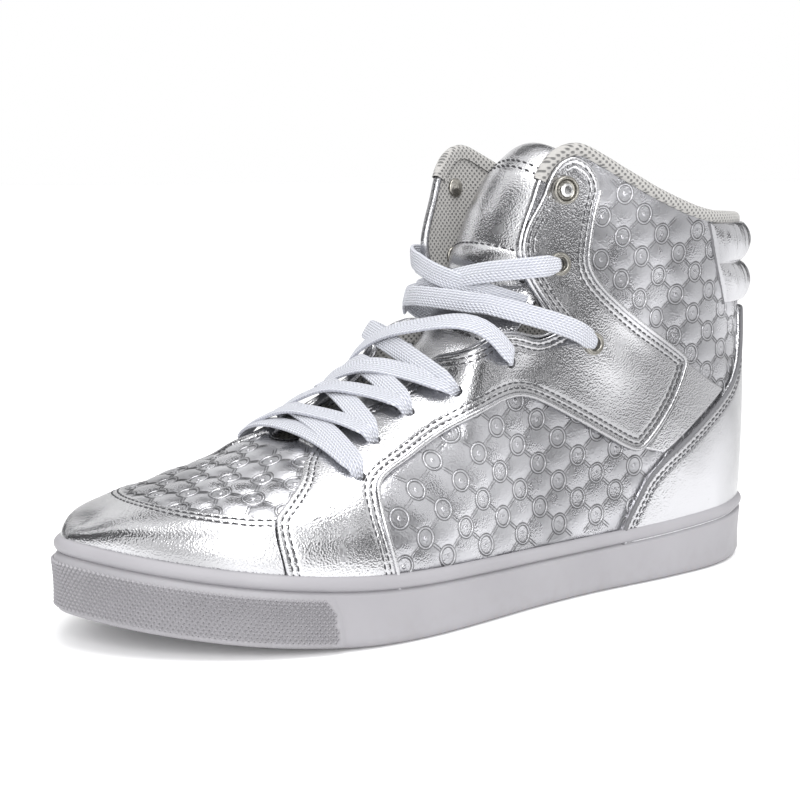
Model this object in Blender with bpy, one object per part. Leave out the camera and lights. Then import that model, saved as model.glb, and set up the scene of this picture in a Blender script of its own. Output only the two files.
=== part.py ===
"""A high-top dance sneaker for the left foot, standing empty on its cup sole.

+X runs from the heel to the toe, +Y to the outer (lateral) side and +Z up.
The origin is on the floor, under the middle of the heel's tread.
"""
import math

import bmesh
import bpy
from mathutils import Vector
from mathutils.bvhtree import BVHTree

# Driving sizes, in metres
SOLE_LENGTH = 0.290
BALL_WIDTH = 0.106
SHOE_HEIGHT = 0.168
TOE_SPRING = 0.0108
SPRING_START = 0.185
SOLE_HEEL_HEIGHT = 0.0254
SOLE_ARCH_HEIGHT = 0.0218
SOLE_BALL_HEIGHT = 0.0238
SOLE_TOE_HEIGHT = 0.0252
RIM_WIDTH = 0.0028
RECESS_DEPTH = 0.0075
BEAD_HEIGHT = 0.0052
BUMPER_START = 0.218
BUMPER_STEP = 0.0020
BUMPER_RISE = 0.0008
LUG_HEIGHT = 0.0020
GROOVE_WIDTH = 0.0030
GROOVE_PITCH = 0.0125
TREAD_MARGIN = 0.0090
INSOLE_THICKNESS = 0.0035
UPPER_WALL = 0.0022
OVERLAY_THICKNESS = 0.0012
GAP = 0.0003
TONGUE_THICKNESS = 0.0045
PAD_SWELL = 0.0052
PAD_SEAM = 0.0008
LACE_WIDTH = 0.0075
LACE_THICKNESS = 0.0016
LACE_LIFT = 0.0012
LACE_LAYER = 0.0004
EYELET_RADIUS = 0.0042
EYELET_HOLE_RADIUS = 0.0024
EYELET_RISE = 0.0010
EYELET_SEAT = 2 * GAP + OVERLAY_THICKNESS
RIVET_RADIUS = 0.0046
HEEL_REST = 0.0455

# Places as shares of SOLE_LENGTH, SHOE_HEIGHT and the way round the sole's edge
ARCH_END = 0.51
TREAD_END = 0.93
PAD_LOW = 0.612
PAD_HIGH = 0.800
PAD_REACH_LOW = 0.150
PAD_REACH_HIGH = 0.205
LACE_HEART = 0.072
CLOSE_ROUND = 0.54

# How finely the curved pieces are divided
COLUMNS = 32
ROWS = 8
TONGUE_COLUMNS = 8
PAD_COLUMNS = 24
PAD_ROLLS = 2
LACE_STEPS = 8

# The sole seen from above, a row for each point round one side from heel to toe.
# along is a share of SOLE_LENGTH, out a share of BALL_WIDTH.
LATERAL_OUTLINE = [
    # along, out
    (0.000, 0.000),
    (0.010, 0.112),
    (0.034, 0.214),
    (0.103, 0.318),
    (0.207, 0.362),
    (0.345, 0.380),
    (0.448, 0.415),
    (0.552, 0.470),
    (0.638, 0.506),
    (0.724, 0.502),
    (0.810, 0.440),
    (0.879, 0.344),
    (0.938, 0.212),
    (0.978, 0.072),
    (1.000, -0.076),
]
MEDIAL_OUTLINE = [
    (0.000, 0.000),
    (0.010, -0.112),
    (0.034, -0.214),
    (0.103, -0.308),
    (0.207, -0.332),
    (0.345, -0.304),
    (0.448, -0.302),
    (0.552, -0.358),
    (0.655, -0.444),
    (0.741, -0.494),
    (0.810, -0.488),
    (0.879, -0.434),
    (0.938, -0.350),
    (0.980, -0.222),
    (1.000, -0.076),
]

# The form of the last, a row for each rib from the heel (round 0) to the toe (round 1).
# round is the share of the sole's edge where the rib starts. The rib ends at
# (top_x, mid_y +- half_y, top_z). back, swell and rise shape its lower half,
# reach, lean and drop its upper half. x is a share of SOLE_LENGTH, y of BALL_WIDTH
# and z of SHOE_HEIGHT. Ribs whose half_y is 0 close over the foot.
RIBS = [
    # round, top_x, top_z, mid_y, half_y, back, swell, rise, reach, lean, drop
    (0.00, 0.020, 0.850, 0.000, 0.000, 0.000, 0.000, 0.300, 0.000, -0.010, 0.300),
    (0.06, 0.036, 0.850, 0.000, 0.150, 0.000, 0.020, 0.300, -0.010, -0.008, 0.300),
    (0.12, 0.080, 0.850, 0.000, 0.265, 0.000, 0.030, 0.290, -0.030, -0.004, 0.300),
    (0.20, 0.145, 0.855, 0.000, 0.330, 0.000, 0.020, 0.280, -0.040, 0.000, 0.310),
    (0.30, 0.225, 0.885, 0.000, 0.350, 0.000, -0.010, 0.280, -0.035, 0.010, 0.330),
    (0.38, 0.300, 0.930, 0.000, 0.345, -0.005, -0.025, 0.290, -0.020, 0.020, 0.340),
    (0.45, 0.385, 0.980, -0.010, 0.325, -0.015, -0.060, 0.280, -0.030, 0.020, 0.330),
    (0.50, 0.455, 1.010, -0.015, 0.240, -0.030, -0.080, 0.270, 0.030, 0.010, 0.220),
    (CLOSE_ROUND, 0.500, 1.020, -0.020, 0.000, -0.045, -0.080, 0.240, 0.250, 0.000, 0.060),
    (0.57, 0.522, 0.760, -0.010, 0.000, -0.058, -0.060, 0.225, 0.230, 0.000, 0.090),
    (0.60, 0.530, 0.565, -0.010, 0.000, -0.045, -0.030, 0.180, 0.220, 0.000, 0.010),
    (0.64, 0.590, 0.494, -0.015, 0.000, -0.035, 0.005, 0.160, 0.230, 0.000, 0.000),
    (0.70, 0.675, 0.408, -0.030, 0.000, -0.020, 0.010, 0.140, 0.250, 0.000, 0.000),
    (0.76, 0.755, 0.345, -0.050, 0.000, -0.010, 0.010, 0.118, 0.260, 0.010, 0.000),
    (0.82, 0.830, 0.305, -0.065, 0.000, 0.000, 0.008, 0.095, 0.250, 0.020, 0.000),
    (0.88, 0.888, 0.279, -0.072, 0.000, 0.000, 0.004, 0.068, 0.190, 0.030, 0.000),
    (0.94, 0.936, 0.259, -0.076, 0.000, 0.000, 0.000, 0.045, 0.100, 0.030, 0.000),
    (1.00, 0.968, 0.232, -0.076, 0.000, 0.000, 0.000, 0.018, 0.000, 0.000, 0.000),
]

# Outlines of the panels seen from the side: x as a share of SOLE_LENGTH and z of
# SHOE_HEIGHT. A corner is sharp where its row says so, and the rest are rounded.
COLLAR_LINE = [
    # x, z, sharp
    (0.010, 0.806, 0),
    (0.060, 0.806, 0),
    (0.110, 0.808, 0),
    (0.170, 0.822, 0),
    (0.240, 0.860, 0),
    (0.300, 0.905, 0),
    (0.340, 0.938, 0),
    (0.372, 0.958, 0),
    (0.396, 0.945, 0),
    (0.410, 0.905, 0),
    (0.420, 0.850, 0),
    (0.436, 0.800, 0),
    (0.448, 0.750, 0),
    (0.440, 0.690, 0),
    (0.418, 0.630, 0),
    (0.394, 0.585, 1),
    (0.430, 0.566, 0),
    (0.470, 0.580, 0),
    (0.500, 0.574, 0),
    (0.535, 0.545, 0),
    (0.575, 0.508, 0),
    (0.620, 0.476, 0),
    (0.680, 0.450, 1),
]
# The throat seen from above: x as a share of SOLE_LENGTH, half_y of BALL_WIDTH.
THROAT_LINE = [
    # x, mid_y, half_y
    (0.726, -0.045, 0.000),
    (0.722, -0.045, 0.060),
    (0.708, -0.042, 0.108),
    (0.680, -0.035, 0.140),
    (0.630, -0.026, 0.162),
    (0.580, -0.018, 0.180),
    (0.530, -0.010, 0.200),
    (0.480, -0.010, 0.225),
    (0.440, -0.010, 0.240),
]
# The tongue's outer face, a row for each place along its middle from the toe end up.
TONGUE_LINE = [
    # x, z, half_y, crown: x a share of SOLE_LENGTH, z of SHOE_HEIGHT, the rest of BALL_WIDTH
    (0.752, 0.300, 0.150, 0.030),
    (0.707, 0.348, 0.190, 0.042),
    (0.655, 0.400, 0.205, 0.052),
    (0.603, 0.452, 0.215, 0.062),
    (0.552, 0.505, 0.212, 0.092),
    (0.508, 0.562, 0.222, 0.100),
    (0.480, 0.628, 0.235, 0.115),
    (0.463, 0.690, 0.258, 0.130),
    (0.449, 0.762, 0.262, 0.140),
    (0.428, 0.842, 0.264, 0.150),
    (0.398, 0.922, 0.262, 0.155),
    (0.352, 0.985, 0.235, 0.135),
]
HEEL_BAND = [
    (0.226, 0.287, 0),
    (0.190, 0.322, 0),
    (0.150, 0.367, 0),
    (0.104, 0.418, 1),
    (0.135, 0.440, 0),
    (0.184, 0.488, 1),
    (0.193, 0.450, 0),
    (0.211, 0.396, 0),
    (0.237, 0.342, 0),
    (0.260, 0.302, 1),
]
LACE_HOLES = [
    # x, z of each punched hole on the eyestay
    (0.700, 0.318),
    (0.660, 0.376),
    (0.605, 0.424),
    (0.550, 0.466),
    (0.478, 0.520),
]
EYELETS = [
    # x, z of each metal eyelet on the ankle flap
    (0.352, 0.548),
    (0.400, 0.720),
]
RIVET_PLACE = (0.393, 0.875)
# The three upper laces across the front of the leg. Each starts or ends above an
# eyelet, named as (side, number), and runs through places given as shares of
# SOLE_LENGTH, BALL_WIDTH and SHOE_HEIGHT.
LEG_LACES = [
    # first eyelet, places, last eyelet
    (
        (1, 1),
        [
            (0.448, 0.335, 0.716), (0.486, 0.190, 0.702), (0.501, 0.010, 0.676),
            (0.490, -0.180, 0.650), (0.462, -0.330, 0.626), (0.410, -0.385, 0.580),
        ],
        (-1, 0),
    ),
    (
        (1, 0),
        [
            (0.398, 0.392, 0.584), (0.440, 0.355, 0.610), (0.486, 0.230, 0.636),
            (0.506, 0.000, 0.644), (0.492, -0.180, 0.636), (0.466, -0.300, 0.612),
        ],
        None,
    ),
    (
        None,
        [
            (0.448, 0.300, 0.636), (0.479, 0.205, 0.660), (0.500, 0.020, 0.694),
            (0.484, -0.190, 0.718), (0.446, -0.345, 0.726),
        ],
        (-1, 1),
    ),
]
EYESTAY_FRONT = [
    (0.716, 0.362, 1),
    (0.740, 0.338, 0),
    (0.762, 0.310, 0),
    (0.790, 0.280, 0),
    (0.810, 0.256, 0),
    (0.816, 0.226, 0),
    (0.814, 0.180, 0),
    (0.806, 0.100, 1),
]
EYESTAY_REAR = [
    (0.678, 0.100, 1),
    (0.690, 0.200, 0),
    (0.692, 0.262, 0),
    (0.680, 0.310, 0),
    (0.630, 0.350, 0),
    (0.580, 0.388, 0),
    (0.530, 0.426, 0),
    (0.490, 0.448, 0),
    (0.460, 0.450, 0),
    (0.425, 0.428, 0),
    (0.380, 0.390, 0),
    (0.335, 0.350, 0),
    (0.285, 0.308, 0),
    (0.266, 0.306, 1),
    (0.240, 0.345, 0),
    (0.214, 0.398, 0),
    (0.196, 0.452, 0),
    (0.186, 0.496, 1),
    (0.222, 0.535, 0),
    (0.272, 0.585, 0),
    (0.320, 0.642, 0),
    (0.346, 0.682, 0),
    (0.358, 0.720, 0),
    (0.356, 0.770, 0),
    (0.348, 0.840, 0),
    (0.336, 0.900, 0),
    (0.322, 0.970, 1),
]
TOE_CAP_SEAM = [
    (0.812, 0.262, 1),
    (0.850, 0.266, 0),
    (0.900, 0.272, 0),
    (0.960, 0.276, 0),
    (1.020, 0.276, 1),
]
COUNTER_EDGE = [
    (0.306, 0.100, 1),
    (0.296, 0.140, 0),
    (0.276, 0.190, 0),
    (0.256, 0.236, 0),
    (0.228, 0.274, 0),
    (0.192, 0.310, 0),
    (0.150, 0.356, 0),
    (0.115, 0.395, 0),
    (0.085, 0.432, 0),
    (0.060, 0.480, 0),
    (0.046, 0.540, 0),
    (0.042, 0.596, 1),
]


def mix(a, b, t):
    return a + (b - a) * t


def smooth_value(a, b, c, d, t):
    """A cubic through b and c, whose slopes follow a and d."""
    return b + 0.5 * t * (c - a + t * (2 * a - 5 * b + 4 * c - d + t * (3 * (b - c) + d - a)))


def smooth_row(rows, key):
    """The row of a table at the value key of its first column, read from a smooth curve."""
    last = len(rows) - 1
    k = 0
    while k < last - 1 and rows[k + 1][0] < key:
        k += 1
    low, high = rows[k], rows[k + 1]
    t = (key - low[0]) / (high[0] - low[0])
    before = rows[max(k - 1, 0)]
    after = rows[min(k + 2, last)]
    span = high[0] - low[0]
    values = []
    for i in range(1, len(low)):
        slope_low = (high[i] - before[i]) / (high[0] - before[0])
        slope_high = (after[i] - low[i]) / (after[0] - low[0])
        h00 = (1 + 2 * t) * (1 - t) ** 2
        h10 = t * (1 - t) ** 2
        h01 = t * t * (3 - 2 * t)
        h11 = t * t * (t - 1)
        values.append(h00 * low[i] + h10 * span * slope_low + h01 * high[i] + h11 * span * slope_high)
    return values


def smooth_path(points, steps):
    """Points of a smooth open curve through 2-D or 3-D points, with steps a span."""
    out = []
    last = len(points) - 1
    for k in range(last):
        a, b = points[max(k - 1, 0)], points[k]
        c, d = points[k + 1], points[min(k + 2, last)]
        for s in range(steps):
            out.append(tuple(smooth_value(a[i], b[i], c[i], d[i], s / steps) for i in range(len(b))))
    out.append(tuple(points[-1]))
    return out


def closed_outline():
    """The sole's whole outline, dense, from the heel round the outer side and back."""
    side_a = [(a * SOLE_LENGTH, o * BALL_WIDTH) for a, o in LATERAL_OUTLINE]
    side_b = [(a * SOLE_LENGTH, o * BALL_WIDTH) for a, o in MEDIAL_OUTLINE]
    ring = side_a + side_b[-2:0:-1]
    count = len(ring)
    dense = []
    for k in range(count):
        a, b, c, d = (ring[(k + j) % count] for j in (-1, 0, 1, 2))
        for s in range(8):
            dense.append(tuple(smooth_value(a[i], b[i], c[i], d[i], s / 8) for i in (0, 1)))
    return dense, 8 * (len(side_a) - 1)


DENSE_OUTLINE, TOE_INDEX = closed_outline()


def half_outline(side):
    """One side of the dense outline, from heel to toe."""
    if side > 0:
        return DENSE_OUTLINE[:TOE_INDEX + 1]
    return [DENSE_OUTLINE[0]] + DENSE_OUTLINE[:TOE_INDEX - 1:-1]


def edge_lengths(points):
    total = [0.0]
    for p, q in zip(points, points[1:]):
        total.append(total[-1] + math.dist(p, q))
    return total


HALVES = {side: half_outline(side) for side in (1, -1)}
HALF_LENGTHS = {side: edge_lengths(HALVES[side]) for side in (1, -1)}


def outline_point(share, side, inset=0.0):
    """A point of the sole's edge, share of the way from heel to toe, moved inwards by inset."""
    points = HALVES[side]
    lengths = HALF_LENGTHS[side]
    target = min(max(share, 0.0), 1.0) * lengths[-1]
    k = 0
    while k < len(points) - 2 and lengths[k + 1] < target:
        k += 1
    t = (target - lengths[k]) / (lengths[k + 1] - lengths[k])
    x = mix(points[k][0], points[k + 1][0], t)
    y = mix(points[k][1], points[k + 1][1], t)
    if inset == 0.0:
        return x, y
    back = points[max(k - 1, 0)]
    ahead = points[min(k + 2, len(points) - 1)]
    tx, ty = ahead[0] - back[0], ahead[1] - back[1]
    if share <= 0.0:
        tx, ty = 0.0, float(side)
    if share >= 1.0:
        tx, ty = 0.0, -float(side)
    size = math.hypot(tx, ty)
    return x + inset * ty / size * side, y - inset * tx / size * side


def floor_height(x):
    """Height of the sole's underside, which is flat up to the toe spring."""
    t = max(0.0, (x - SPRING_START) / (SOLE_LENGTH - SPRING_START))
    return TOE_SPRING * t * t


def sole_top(x):
    """Height of the sole's rim above the floor."""
    stations = [
        (0.0, SOLE_HEEL_HEIGHT),
        (0.345 * SOLE_LENGTH, SOLE_ARCH_HEIGHT),
        (0.690 * SOLE_LENGTH, SOLE_BALL_HEIGHT),
        (SOLE_LENGTH, SOLE_TOE_HEIGHT),
    ]
    return smooth_row(stations, min(max(x, 0.0), SOLE_LENGTH))[0] + floor_height(x)


def rib_point(share, side, rise):
    """A point of the last: rise 0 is at the sole's rim and 1 at the rib's top."""
    top_x, top_z, mid_y, half_y, back, swell, lift, reach, lean, drop = smooth_row(RIBS, share)
    half_y = max(half_y, 0.0)
    bx, by = outline_point(share, side, RIM_WIDTH + GAP)
    start = Vector((bx, by, sole_top(bx)))
    end = Vector((
        top_x * SOLE_LENGTH,
        (mid_y + side * half_y) * BALL_WIDTH,
        top_z * SHOE_HEIGHT,
    ))
    out = Vector(outline_point(share, side, -1.0)) - Vector(outline_point(share, side))
    low = start + Vector((out.x * swell * BALL_WIDTH, out.y * swell * BALL_WIDTH, lift * SHOE_HEIGHT))
    low.x += back * SOLE_LENGTH
    ahead = smooth_row(RIBS, min(share + 0.01, 1.0))
    behind = smooth_row(RIBS, max(share - 0.01, 0.0))
    run = Vector(((ahead[0] - behind[0]) * SOLE_LENGTH, 0.0, (ahead[1] - behind[1]) * SHOE_HEIGHT))
    if run.length > 0:
        run.normalize()
    high = end + Vector((0.0, side * reach * BALL_WIDTH, -drop * SHOE_HEIGHT))
    high += run * lean * SOLE_LENGTH
    a = (1 - rise) ** 3
    b = 3 * rise * (1 - rise) ** 2
    c = 3 * rise ** 2 * (1 - rise)
    return start * a + low * b + high * c + end * rise ** 3


def closes(share):
    return share >= CLOSE_ROUND - 1e-6


def rib_shares():
    """Column positions round one side. One of them is exactly where the ribs start to close."""
    before = round(COLUMNS * CLOSE_ROUND)
    after = COLUMNS - before
    rear = [CLOSE_ROUND * k / before for k in range(before)]
    return rear + [mix(CLOSE_ROUND, 1.0, k / after) for k in range(after + 1)]


def ring_keys():
    """(share, side) of each column round the shoe, from the heel by the outer side."""
    shares = rib_shares()
    return [(s, 1) for s in shares] + [(s, -1) for s in shares[-2:0:-1]]


def last_grid():
    """The outer skin of the upper as points and triangles, its lower edge let into the sole."""
    keys = ring_keys()
    index = {}
    points = []
    for k, (share, side) in enumerate(keys):
        for j in range(-1, ROWS + 1):
            mirror = (len(keys) - k) % len(keys)
            if j == ROWS and side < 0 and closes(share):
                index[k, j] = index[mirror, j]
                continue
            if j < 0:
                x, y = outline_point(share, side, RIM_WIDTH + GAP)
                place = Vector((x, y, sole_top(x) - RECESS_DEPTH + GAP))
            else:
                place = rib_point(share, side, j / ROWS)
            index[k, j] = len(points)
            points.append(place)
    lap_faces, faces = [], []
    count = len(keys)
    for k in range(count):
        n = (k + 1) % count
        for j in range(-1, ROWS):
            a, b, c, d = index[k, j], index[k, j + 1], index[n, j + 1], index[n, j]
            for face in ((a, b, c), (a, c, d)):
                if len(set(face)) == 3:
                    (lap_faces if j < 0 else faces).append(face)
    lap_edge = [index[k, -1] for k in range(count)]
    sole_edge = [index[k, 0] for k in range(count)]
    first = keys.index((CLOSE_ROUND, 1))
    rim = [index[k % count, ROWS] for k in range(count - first, count + first + 1)]
    rim = list(dict.fromkeys(rim))
    return points, lap_faces, faces, lap_edge, sole_edge, rim


def vertex_normals(points, faces):
    total = [Vector((0.0, 0.0, 0.0)) for _ in points]
    for face in faces:
        area = Vector((0.0, 0.0, 0.0))
        for a, b in zip(face, face[1:] + face[:1]):
            area += points[a].cross(points[b])
        for a in face:
            total[a] += area
    return [v.normalized() for v in total]


SKIN_POINTS, LAP_FACES, SKIN_FACES, LAP_EDGE, SOLE_EDGE, SKIN_RIM = last_grid()
SKIN_NORMALS = vertex_normals(SKIN_POINTS, LAP_FACES + SKIN_FACES)


def material(name, colour, roughness, metallic):
    made = bpy.data.materials.new(name)
    made.use_nodes = True
    shader = made.node_tree.nodes["Principled BSDF"]
    shader.inputs["Base Color"].default_value = (*colour, 1.0)
    shader.inputs["Roughness"].default_value = roughness
    shader.inputs["Metallic"].default_value = metallic
    return made


for existing in list(bpy.data.objects):
    bpy.data.objects.remove(existing)

silver = material("silver_leather", (0.72, 0.73, 0.75), 0.25, 0.9)
sole_rubber = material("sole_rubber", (0.62, 0.60, 0.65), 0.6, 0.0)
lining = material("lining", (0.45, 0.44, 0.43), 0.9, 0.0)
lace_cloth = material("lace_cloth", (0.78, 0.79, 0.86), 0.85, 0.0)
nickel = material("nickel", (0.55, 0.53, 0.48), 0.3, 1.0)


def new_object(name, vertices, faces, finish, smooth_angle=40.0):
    mesh = bpy.data.meshes.new(name)
    mesh.from_pydata([(v[0] - HEEL_REST, v[1], v[2]) for v in vertices], [], faces)
    edit = bmesh.new()
    edit.from_mesh(mesh)
    bmesh.ops.recalc_face_normals(edit, faces=edit.faces)
    edit.to_mesh(mesh)
    edit.free()
    mesh.shade_smooth()
    mesh.set_sharp_from_angle(angle=math.radians(smooth_angle))
    made = bpy.data.objects.new(name, mesh)
    bpy.context.collection.objects.link(made)
    if finish:
        mesh.materials.append(finish)
    return made


def skin_shell(name, inner, outer, finish, lapped):
    """A closed wall over the whole last, between two distances from its skin.

    A lapped wall goes down inside the sole's rim, and the others stop just above it.
    """
    count = len(SKIN_POINTS)
    far = [p + n * outer for p, n in zip(SKIN_POINTS, SKIN_NORMALS)]
    near = [p + n * inner for p, n in zip(SKIN_POINTS, SKIN_NORMALS)]
    skin = LAP_FACES + SKIN_FACES if lapped else SKIN_FACES
    edge = LAP_EDGE if lapped else SOLE_EDGE
    for i in edge:
        far[i].z = near[i].z = SKIN_POINTS[i].z + (0.0 if lapped else 2 * GAP)
    faces = list(skin)
    faces += [tuple(count + i for i in reversed(face)) for face in skin]
    for loop in (edge, SKIN_RIM):
        for a, b in zip(loop, loop[1:] + loop[:1]):
            faces.append((a, b, count + b, count + a))
    used = sorted({i for face in faces for i in face})
    place = {old: new for new, old in enumerate(used)}
    vertices = far + near
    return new_object(name, [vertices[i] for i in used], [tuple(place[i] for i in f) for f in faces], finish)


def rounded(points, steps=2):
    """A side outline in metres, smooth between its sharp corners."""
    runs = [[]]
    for x, z, sharp in points:
        runs[-1].append((x * SOLE_LENGTH, z * SHOE_HEIGHT))
        if sharp:
            runs.append([(x * SOLE_LENGTH, z * SHOE_HEIGHT)])
    out = []
    for run in runs:
        if len(run) > 1:
            out += smooth_path(run, steps)
        elif run:
            out += run
    clean = []
    for p in out:
        if not clean or math.dist(p, clean[-1]) > 1e-6:
            clean.append(p)
    return clean


def side_prism(name, outline, low_y, high_y):
    """A cutter: the side outline (x, z) pushed through from low_y to high_y."""
    count = len(outline)
    vertices = [(x, low_y, z) for x, z in outline] + [(x, high_y, z) for x, z in outline]
    faces = [tuple(range(count)), tuple(range(2 * count - 1, count - 1, -1))]
    for a in range(count):
        b = (a + 1) % count
        faces.append((a, b, count + b, count + a))
    cutter = new_object(name, vertices, faces, None)
    cutter.hide_render = True
    cutter.display_type = "WIRE"
    return cutter


def cut(target, cutter, operation, solver="EXACT"):
    """Apply one Boolean and remove the cutter."""
    change = target.modifiers.new("cut", "BOOLEAN")
    change.operation = operation
    change.solver = solver
    change.object = cutter
    bpy.context.view_layer.update()
    graph = bpy.context.evaluated_depsgraph_get()
    mesh = bpy.data.meshes.new_from_object(target.evaluated_get(graph))
    target.modifiers.remove(change)
    target.data = mesh
    bpy.data.objects.remove(cutter)
    edit = bmesh.new()
    edit.from_mesh(mesh)
    if solver == "EXACT":
        bmesh.ops.dissolve_degenerate(edit, dist=2e-5, edges=edit.edges)
    bmesh.ops.triangulate(edit, faces=edit.faces)
    edit.to_mesh(mesh)
    edit.free()
    return target


def open_side_outline():
    """What lies above the collar and in front of the ankle flap, seen from the side."""
    line = rounded(COLLAR_LINE)
    high = 1.5 * SHOE_HEIGHT
    back = -0.2 * SOLE_LENGTH
    return [(back, line[0][1])] + line + [(line[-1][0], high), (back, high)]


def throat_prism(name):
    """A cutter down through the throat."""
    rows = smooth_path([(x * SOLE_LENGTH, m * BALL_WIDTH, h * BALL_WIDTH) for x, m, h in THROAT_LINE], 2)
    outer = [(x, mid + half) for x, mid, half in rows[1:]]
    inner = [(x, mid - half) for x, mid, half in rows[1:]]
    ring = [rows[0][:2]] + outer + inner[::-1]
    low = 0.25 * SHOE_HEIGHT
    high = 0.75 * SHOE_HEIGHT
    count = len(ring)
    vertices = [(x, y, low) for x, y in ring] + [(x, y, high) for x, y in ring]
    faces = [tuple(range(count)), tuple(range(2 * count - 1, count - 1, -1))]
    faces += [(a, (a + 1) % count, count + (a + 1) % count, count + a) for a in range(count)]
    cutter = new_object(name, vertices, faces, None)
    cutter.hide_render = True
    cutter.display_type = "WIRE"
    return cutter


def open_up(target):
    """Cut the collar, the front of the leg and the throat out of a wall of the upper."""
    cut(target, side_prism("collar_cutter", open_side_outline(), -BALL_WIDTH, BALL_WIDTH), "DIFFERENCE")
    cut(target, throat_prism("throat_cutter"), "DIFFERENCE")
    return target


def make_upper():
    upper = skin_shell("upper", -UPPER_WALL, 0.0, silver, True)
    return open_up(upper)


def make_overlay(name, outline, low_y, high_y):
    """A leather panel of the upper: the part of an outer layer inside a side outline."""
    panel = skin_shell(name, GAP, GAP + OVERLAY_THICKNESS, silver, False)
    cut(panel, side_prism(name + "_outline", outline, low_y, high_y), "INTERSECT")
    if "eyestay" in name:
        open_up(panel)
    return panel


def to_metres(x, z):
    return (x * SOLE_LENGTH, z * SHOE_HEIGHT)


def eyestay_outline():
    front = rounded(EYESTAY_FRONT)
    rear = rounded(EYESTAY_REAR)
    return front + rear + [to_metres(0.322, 1.2), to_metres(0.716, 1.2)]


def toe_cap_outline():
    """Below the cap's seam and in front of the eyestay's front edge."""
    front = [(x + 2 * GAP, z) for x, z in rounded(EYESTAY_FRONT[4:])]
    seam = rounded(TOE_CAP_SEAM)
    seam[0] = (front[0][0], seam[0][1])
    front = [p for p in front if p[1] < seam[0][1]]
    return front[::-1] + seam + [to_metres(1.1, 0.276), to_metres(1.1, 0.1)]


def counter_outline():
    return rounded(COUNTER_EDGE) + [to_metres(-0.1, 0.596), to_metres(-0.1, 0.1)]


def make_overlays():
    wide = BALL_WIDTH
    make_overlay("toe_cap", toe_cap_outline(), -wide, wide)
    make_overlay("heel_counter", counter_outline(), -wide, wide)
    middle = THROAT_LINE[0][1] * BALL_WIDTH
    for name, low_y, high_y in (("lateral", middle, wide), ("medial", -wide, middle)):
        make_overlay("eyestay_" + name, eyestay_outline(), low_y, high_y)
        make_overlay("heel_band_" + name, rounded(HEEL_BAND), low_y, high_y)


def bumper_rise(x):
    """How far the toe bumper stands out of the sole's side."""
    t = min(max((x - BUMPER_START) / BUMPER_STEP, 0.0), 1.0)
    return BUMPER_RISE * t


def sole_rings(name, levels, finish):
    """A solid lofted through rings of the sole's edge.

    Each level is (inset, height function, share of the toe bumper's rise).
    """
    keys = ring_keys()
    count = len(keys)
    vertices = []
    for inset, height, bumper in levels:
        for share, side in keys:
            x, _ = outline_point(share, side)
            x, y = outline_point(share, side, inset - bumper * bumper_rise(x))
            vertices.append((x, y, height(x)))
    faces = []
    for level in range(len(levels) - 1):
        for k in range(count):
            n = (k + 1) % count
            a, b = level * count, (level + 1) * count
            faces.append((a + k, a + n, b + n, b + k))
    for base in (0, (len(levels) - 1) * count):
        for k in range(COLUMNS):
            quad = (base + k, base + k + 1, base + (count - k - 1) % count, base + (count - k) % count)
            faces.append(tuple(dict.fromkeys(quad)))
    return new_object(name, vertices, faces, finish, 30.0)


def make_outsole():
    def from_floor(rise):
        return lambda x: floor_height(x) + rise

    def from_top(drop):
        return lambda x: sole_top(x) - drop

    levels = [
        (0.0042, from_floor(0.0), 0.0),
        (0.0016, from_floor(0.0012), 0.0),
        (0.0008, from_floor(0.0034), 1.0),
        (0.0002, from_top(BEAD_HEIGHT + 0.0016), 1.0),
        (0.0002, from_top(BEAD_HEIGHT + 0.0008), 0.0),
        (0.0012, from_top(BEAD_HEIGHT), 0.0),
        (0.0003, from_top(0.75 * BEAD_HEIGHT), 0.0),
        (0.0003, from_top(0.30 * BEAD_HEIGHT), 0.0),
        (0.0014, from_top(0.0), 0.0),
        (RIM_WIDTH, from_top(0.0), 0.0),
        (RIM_WIDTH, from_top(RECESS_DEPTH), 0.0),
    ]
    outsole = sole_rings("outsole", levels, sole_rubber)
    cut(outsole, groove_cutter(), "DIFFERENCE")
    return outsole


def width_at(x):
    """Lateral and medial edges of the sole at x."""
    edges = []
    for side in (1, -1):
        points = HALVES[side]
        best = min(points[4:-4], key=lambda p: abs(p[0] - x))
        edges.append(best[1])
    return edges


def groove_cutter():
    """Transverse grooves of the tread and the hollow under the arch."""
    vertices = []
    faces = []
    bars = []
    for k in range(-3, 3):
        bars.append((HEEL_REST + (k + 0.5) * GROOVE_PITCH - GROOVE_WIDTH / 2, GROOVE_WIDTH))
    arch_start = bars[-1][0] + GROOVE_PITCH
    arch_end = ARCH_END * SOLE_LENGTH
    bars.append((arch_start, arch_end - arch_start))
    x = arch_end + GROOVE_PITCH - GROOVE_WIDTH
    while x < TREAD_END * SOLE_LENGTH:
        bars.append((x, GROOVE_WIDTH))
        x += GROOVE_PITCH
    for start, length in bars:
        corners = []
        for px in (start, start + length):
            high, low = width_at(px)
            for y in (low + TREAD_MARGIN, high - TREAD_MARGIN):
                for z in (floor_height(px) - LUG_HEIGHT, floor_height(px) + LUG_HEIGHT):
                    corners.append((px, y, z))
        base = len(vertices)
        vertices += corners
        box = ((0, 1, 3, 2), (4, 6, 7, 5), (0, 4, 5, 1), (2, 3, 7, 6), (0, 2, 6, 4), (1, 5, 7, 3))
        faces += [tuple(base + i for i in face) for face in box]
    return new_object("groove_cutter", vertices, faces, None)


def make_insole():
    inset = RIM_WIDTH + UPPER_WALL + 3 * GAP

    def above(rise):
        return lambda x: sole_top(x) - RECESS_DEPTH + GAP + rise

    levels = [
        (inset, above(0.0), 0.0),
        (inset, above(INSOLE_THICKNESS - 0.0008), 0.0),
        (inset + 0.0010, above(INSOLE_THICKNESS), 0.0),
    ]
    return sole_rings("insole", levels, lining)


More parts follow.
